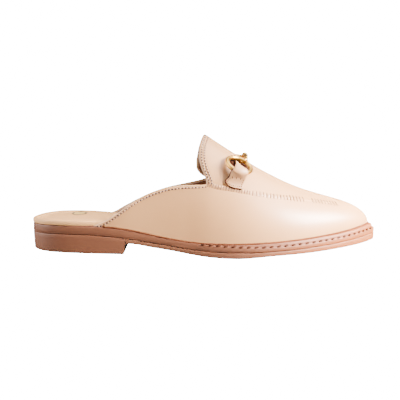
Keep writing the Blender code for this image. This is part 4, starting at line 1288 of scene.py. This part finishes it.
BRASS = brass()
BIT_S = 158.0
BIT_Z = 65.8
RING_RADIUS = 9.5
WIRE_RADIUS = 1.8
RING_LIFT = 4.0
RING_TILT = math.radians(12.0)
EYE_RADIUS = 3.05
EYE_WIRE = 0.95
EYE_PAST_RING = 0.2
EYE_RISE = 0.15
EYE_TURN = math.radians(38.0)
EYE_ANGLE = math.radians(63.0)
BAR_RADIUS = 1.9
BAR_START_RADIUS = 1.4
BAR_END_SHARE = 0.75
BAR_PAST_EYE = 0.4
BAR_AWAY = (0.86, 0.5)
BAR_CLEAR = 0.9
BAR_RISE = 3.0
BAR_END_Y = 3.9
BAR_STEPS = 32
RIDGE_BAR_S = 165.1
SEAT_AHEAD = (6.0, 3.7)
SEAT_BELOW = 4.0
SEAT_ABOVE = 3.0
# place across the ridge, radius
LINK = (
    (-3.05, 1.3), (-2.9, 1.8), (-2.6, 2.15), (-1.9, 2.4), (-1.2, 2.55), (-0.6, 2.6), (0.0, 2.6),
    (0.6, 2.6), (1.2, 2.55), (1.9, 2.4), (2.6, 2.15), (2.9, 1.8), (3.05, 1.3),
)


def surface_at(side, s, z):
    """Spot of the upper on one side at a station and a height."""
    posts = column(side, s=s)
    return Vector(bezier(posts, share_where(posts, lambda q: z))[0])


def seat(side, s, z):
    """Spot on the upper, direction to the toe, direction down the side, outward normal."""
    here = surface_at(side, s, z)
    ahead = surface_at(side, s + SEAT_AHEAD[0], z - SEAT_AHEAD[1])
    below = surface_at(side, s, z - SEAT_BELOW)
    above = surface_at(side, s, z + SEAT_ABOVE)
    down = (below - above).normalized()
    toe = ahead - here
    toe = (toe - toe.dot(down) * down).normalized()
    normal = toe.cross(down) if side == "medial" else down.cross(toe)
    return here, toe, down, normal.normalized()


def over_ridge(s, y):
    """Height of the upper near the ridge at plan point s, y."""
    side = "lateral" if y < sample(RIDGE, s, 1) else "medial"
    curve = bezier(column(side, s=s), SHARES)
    order = np.argsort(curve[:, 1])
    return float(np.interp(y, curve[order, 1], curve[order, 2]))


def place(spot):
    """A spot in table millimetres as a vector in frame metres."""
    return Vector(placed(tuple(spot)))


def ring_piece(name, centre, x_axis, y_axis, z_axis, major, minor, around=96, across=24):
    """Ring of round wire in the plane of the first two axes."""
    bpy.ops.mesh.primitive_torus_add(major_radius=major * 0.001, minor_radius=minor * 0.001,
                                     major_segments=around, minor_segments=across)
    obj = bpy.context.object
    obj.name = name
    matrix = Matrix((x_axis, y_axis, z_axis)).transposed().to_4x4()
    matrix.translation = place(centre)
    obj.data.transform(matrix)
    obj.data.shade_smooth()
    obj.data.materials.append(BRASS)
    return obj


def rod_piece(name, path, radii, across=24):
    """Closed rod of changing radius along a path in table millimetres."""
    verts = []
    faces = []
    for k, point in enumerate(path):
        way = (path[min(k + 1, len(path) - 1)] - path[max(k - 1, 0)]).normalized()
        side = way.cross(Vector((1.0, 0.0, 0.0))).normalized()
        up = side.cross(way).normalized()
        for b in range(across):
            angle = 2 * math.pi * b / across
            verts.append(point + radii[k] * (math.cos(angle) * side + math.sin(angle) * up))
    for k in range(len(path) - 1):
        for b in range(across):
            n = (b + 1) % across
            faces.append((k * across + b, k * across + n, (k + 1) * across + n, (k + 1) * across + b))
    faces.append(tuple(range(across)))
    faces.append(tuple(range((len(path) - 1) * across, len(path) * across)))
    return piece(name, [tuple(v) for v in verts], faces, [BRASS], sharp=50.0)


ridge_y = sample(RIDGE, RIDGE_BAR_S, 1)
crown_z = sample(RIDGE, RIDGE_BAR_S, 2)
bits = {}
for side in SIDES:
    sign = -1.0 if side == "lateral" else 1.0
    here, toe, down, normal = seat(side, BIT_S, BIT_Z - (0.0 if side == "lateral" else MEDIAL_DROP))
    low_way = math.cos(RING_TILT) * down + math.sin(RING_TILT) * normal
    out_way = math.cos(RING_TILT) * normal - math.sin(RING_TILT) * down
    centre = here + RING_LIFT * normal
    bits[side] = (here, toe, down, normal, centre, low_way, out_way)
    ring = ring_piece("bit_ring_" + side, centre, toe, -low_way, out_way, RING_RADIUS, WIRE_RADIUS)
    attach(ring, "root")
    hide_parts("ring_" + side)

    radial = math.cos(EYE_ANGLE) * toe - math.sin(EYE_ANGLE) * low_way
    tangent = -math.sin(EYE_ANGLE) * toe - math.cos(EYE_ANGLE) * low_way
    eye_centre = centre + (RING_RADIUS + EYE_PAST_RING) * radial + EYE_RISE * out_way
    eye_out = math.cos(EYE_TURN) * out_way - math.sin(EYE_TURN) * tangent
    eye_axis = math.cos(EYE_TURN) * tangent + math.sin(EYE_TURN) * out_way
    eye = ring_piece("bit_eye_" + side, eye_centre, radial, eye_out, eye_axis, EYE_RADIUS, EYE_WIRE, 64, 20)
    away = (BAR_AWAY[0] * radial + BAR_AWAY[1] * eye_out).normalized()
    start = eye_centre + (EYE_RADIUS + BAR_PAST_EYE) * away
    path = []
    radii = []
    end_y = ridge_y + sign * BAR_END_Y
    for k in range(BAR_STEPS + 1):
        t = k / BAR_STEPS
        s = start.x + (RIDGE_BAR_S - start.x) * t
        y = start.y + (end_y - start.y) * t
        lowest = over_ridge(s, y) + BAR_RADIUS + BAR_CLEAR
        rise = math.sin(t * math.pi / 2)
        path.append(Vector((s, y, max(start.z + (crown_z + BAR_RISE - start.z) * rise, lowest))))
        radii.append(BAR_START_RADIUS + (BAR_RADIUS - BAR_START_RADIUS) * rise)
    for k in (0, -1):
        radii[k] *= BAR_END_SHARE
    bar = rod_piece("bit_bar_" + side, path, radii)
    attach(bar, "root")
    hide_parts("bar_" + side)
    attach(eye, "root")
link_z = max(crown_z + BAR_RISE, over_ridge(RIDGE_BAR_S, ridge_y) + BAR_RADIUS + BAR_CLEAR)
link_path = [Vector((RIDGE_BAR_S, ridge_y + across, link_z)) for across, radius in LINK]
link = rod_piece("bit_link", link_path, [radius for across, radius in LINK])
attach(link, "root")
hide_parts("centre_link")

# Backing of the ring: the hide that shows inside the ring is painted as dark as the cut edges
# of the tab, painted shade for the shadow between the ring, the strap and the upper
# Painted shade: near-black brown for the backing, the tab's underside, cut edges and hidden fold, and its
# sewing
TAB_EDGE_SHADE = hide("tab_edge_painted_shade", srgb(42, 20, 10), srgb(54, 28, 15), 0.8, 0.3, 1400.0, specular=0.05)
BACKING_RADIUS = 7.6
BACKING_SHIFT = (1.8, -4.2)
BACKING_DEPTH = 9.0
upper.data.materials.append(TAB_EDGE_SHADE)
for side in SIDES:
    here, toe, down, normal, centre, low_way, out_way = bits[side]
    spot = here + BACKING_SHIFT[0] * toe + BACKING_SHIFT[1] * down
    for face in upper.data.polygons:
        away = (face.center - place(spot)) * 1000.0
        flat = math.hypot(away.dot(toe), away.dot(down))
        deep = abs(away.dot(normal))
        if face.material_index == 0 and flat < BACKING_RADIUS and deep < BACKING_DEPTH:
            face.material_index = 3

# Tab: a leather strap folded over the ring's lower wire, ending in a lopsided shield that is
# sewn to the apron with a row of thread inside its edge and a tack row below the wire
TAB_THICK = 1.3
TAB_CLEAR = 0.35
TAB_EDGE_ROUND = 0.6
SPAN_STEPS = 4
COLUMNS = 20
SEWN_ROWS = 36
SHOWN_FOLD_ROWS = 24
SEWN_COLUMN = 2
SEWN_FOOT_ROW = 11
SEWN_TOP_ROW = 32
TACK_ROW = 35
TACK_COLUMNS = (4, 14)
CUT_TOP_ROW = 46
THREAD_SUNK = 0.12
THREAD_IN = 1.5
THREAD_WIDTH = 0.35
LOOSE_BACK = 4.0
LOOSE_OUT = 2.0
# Painted shade: the strap's hide is a little darker than the upper's, to tone down its bright face
TAB_LEATHER_SHADED = hide("tab_leather", srgb(170, 118, 76), srgb(180, 128, 84), 0.46, 0.10, 1400.0)
# down the side from the bit's seat, left edge, right edge, rise off the skin
SHIELD = (
    (18.9, -1.6, 3.6, 0.0), (18.6, -2.8, 4.4, 0.0), (17.9, -4.9, 4.8, 0.0), (17.0, -6.5, 4.9, 0.05),
    (16.0, -7.8, 4.9, 0.25), (15.2, -8.6, 4.9, 0.6), (14.6, -8.8, 5.0, 1.0), (14.0, -8.4, 5.1, 1.6),
    (13.2, -7.6, 5.2, 2.6), (12.4, -7.1, 5.3, 3.8),
)
# angle round the wire from straight down the side, left edge, right edge
FOLD = (
    (-10.0, -6.9, 5.4), (12.0, -6.5, 5.6), (34.0, -5.9, 5.6), (56.0, -5.3, 5.4), (78.0, -4.9, 5.0),
    (100.0, -4.8, 4.6), (124.0, -5.1, 4.4), (148.0, -5.3, 4.4), (174.0, -5.2, 4.5),
    (202.0, -5.0, 4.6), (228.0, -4.9, 4.7),
)


def skin_lift(side, a, b):
    """Height of the shown skin over the seat plane, a toward the toe and b down the side."""
    here, toe, down, normal = bits[side][:4]
    at = here + a * toe + b * down
    offsets = bezier(fine_column(side, at.x), SHARES) - np.array(at)
    k = int(np.argmin(np.abs(offsets @ np.array(down))))
    return float(offsets[k] @ np.array(normal))


for side in SIDES:
    here, toe, down, normal, centre, low_way, out_way = bits[side]
    # Middle surface: the shield's rows on the apron, then the rows folded round the wire
    middle = []
    for b, left, right, slack in SHIELD:
        row = []
        for m in range(COLUMNS + 1):
            a = left + (right - left) * m / COLUMNS
            rise = skin_lift(side, a, b) + slack + TAB_CLEAR + TAB_THICK / 2
            row.append(here + a * toe + b * down + rise * normal)
        middle.append(row)
    reach = WIRE_RADIUS + TAB_CLEAR + TAB_THICK / 2
    for angle, left, right in FOLD:
        row = []
        for m in range(COLUMNS + 1):
            a = left + (right - left) * m / COLUMNS
            turn_by = math.radians(angle)
            loose = (1.0 - m / COLUMNS) * unit((angle - 20.0) / 80.0)
            bow = math.sqrt((RING_RADIUS + reach * math.cos(turn_by)) ** 2 - a * a)
            bow -= LOOSE_BACK * loose
            out_by = reach * math.sin(turn_by) + LOOSE_OUT * loose
            row.append(centre + a * toe + bow * low_way + out_by * out_way)
        middle.append(row)
    # Rows between the given ones, on a smooth curve through them
    dense = []
    for k in range(len(middle) - 1):
        for q in range(SPAN_STEPS):
            t = q / SPAN_STEPS
            p0 = middle[max(k - 1, 0)]
            p3 = middle[min(k + 2, len(middle) - 1)]
            row = []
            for m in range(COLUMNS + 1):
                a, b, c, d = p0[m], middle[k][m], middle[k + 1][m], p3[m]
                row.append(0.5 * ((2 * b) + (c - a) * t + (2 * a - 5 * b + 4 * c - d) * t ** 2
                                  + (3 * b - a - 3 * c + d) * t ** 3))
            dense.append(row)
    dense.append(middle[-1])
    rows = len(dense)
    mid = np.array([[tuple(p) for p in row] for row in dense])
    du = np.gradient(mid, axis=0)
    dv = np.gradient(mid, axis=1)
    ways = np.cross(du, dv)
    ways /= np.maximum(np.linalg.norm(ways, axis=2), 1e-9)[:, :, None]
    if np.dot(ways[COLUMNS // 2, COLUMNS // 2], np.array(normal)) < 0.0:
        ways = -ways
    # Both faces of the strap, half its thickness off the middle and rounded at the cut edge
    lengths = run_of(mid[:, COLUMNS // 2])
    top_ids = []
    low_ids = []
    verts = []
    first_shaded_row = SPAN_STEPS * len(SHIELD) + SHOWN_FOLD_ROWS
    for k in range(rows):
        top_row = []
        low_row = []
        width = float(np.linalg.norm(mid[k, -1] - mid[k, 0]))
        for m in range(COLUMNS + 1):
            edge = min(m, COLUMNS - m) / COLUMNS * width
            edge = min(edge, lengths[k], lengths[-1] - lengths[k])
            round_off = math.sqrt(max(1.0 - (1.0 - min(edge / TAB_EDGE_ROUND, 1.0)) ** 2, 0.0))
            half = 0.25 * TAB_THICK * (1.0 + round_off)
            sunk = THREAD_SUNK * bell(edge - THREAD_IN, THREAD_WIDTH) if k < SEWN_ROWS else 0.0
            top_row.append(len(verts))
            verts.append(tuple(mid[k, m] + (half - sunk) * ways[k, m]))
            low_row.append(len(verts))
            verts.append(tuple(mid[k, m] - half * ways[k, m]))
        top_ids.append(top_row)
        low_ids.append(low_row)
    faces = []
    # Painted shade: the underside, the cut edges and the fold's rows past the shown ones take the dark edge
    # colour, for the shade inside the ring and under the strap
    tab_slots = []
    for k in range(rows - 1):
        for m in range(COLUMNS):
            faces.append((top_ids[k][m], top_ids[k][m + 1], top_ids[k + 1][m + 1], top_ids[k + 1][m]))
            tab_slots.append(1 if k > first_shaded_row else 0)
            faces.append((low_ids[k][m], low_ids[k + 1][m], low_ids[k + 1][m + 1], low_ids[k][m + 1]))
            tab_slots.append(1)
        for m in (0, COLUMNS):
            faces.append((top_ids[k][m], top_ids[k + 1][m], low_ids[k + 1][m], low_ids[k][m]))
            tab_slots.append(1)
    for k in (0, rows - 1):
        for m in range(COLUMNS):
            faces.append((top_ids[k][m], top_ids[k][m + 1], low_ids[k][m + 1], low_ids[k][m]))
            tab_slots.append(1)
    tab = piece("bit_tab_" + side, verts, faces, [TAB_LEATHER_SHADED, TAB_EDGE_SHADE], tab_slots, 70.0)
    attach(tab, "root")
    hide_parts("tab_" + side)
    # Sewing: the row inside the edge, the tack below the wire, and a dark line along the cut edge, painted
    # shadow under the strap's edge
    far_column = COLUMNS - SEWN_COLUMN
    around = ([(k, SEWN_COLUMN) for k in range(SEWN_TOP_ROW, SEWN_FOOT_ROW + 1, -2)]
              + [(SEWN_FOOT_ROW, m) for m in range(SEWN_COLUMN + 1, far_column)]
              + [(k, far_column) for k in range(SEWN_FOOT_ROW + 1, SEWN_TOP_ROW + 1, 2)])
    across_row = [(TACK_ROW, m) for m in range(TACK_COLUMNS[0], TACK_COLUMNS[1] + 1)]
    outline = [(k, 0) for k in range(CUT_TOP_ROW, 0, -1)] + [(0, m) for m in range(COLUMNS + 1)]
    # part, line, pitch, rise as a share of the thickness, length, width and height
    for part, line, pitch, rise, size in (("row", around, 1.5, 0.5, (0.8, 0.5, 0.9)),
                                          ("tack", across_row, 2.2, 0.5, (0.5, 2.2, 1.0)),
                                          ("edge", outline, 0.6, -0.1, (1.6, 1.1, 1.1))):
        on_top = [tuple(mid[k, m] + rise * TAB_THICK * ways[k, m]) for k, m in line]
        stitches("tab_%s_%s" % (part, side), [(on_top, [tuple(ways[k, m]) for k, m in line])],
                 TAB_EDGE_SHADE, lambda run: int(run / pitch) + 1, *size, slot="tab_leather")
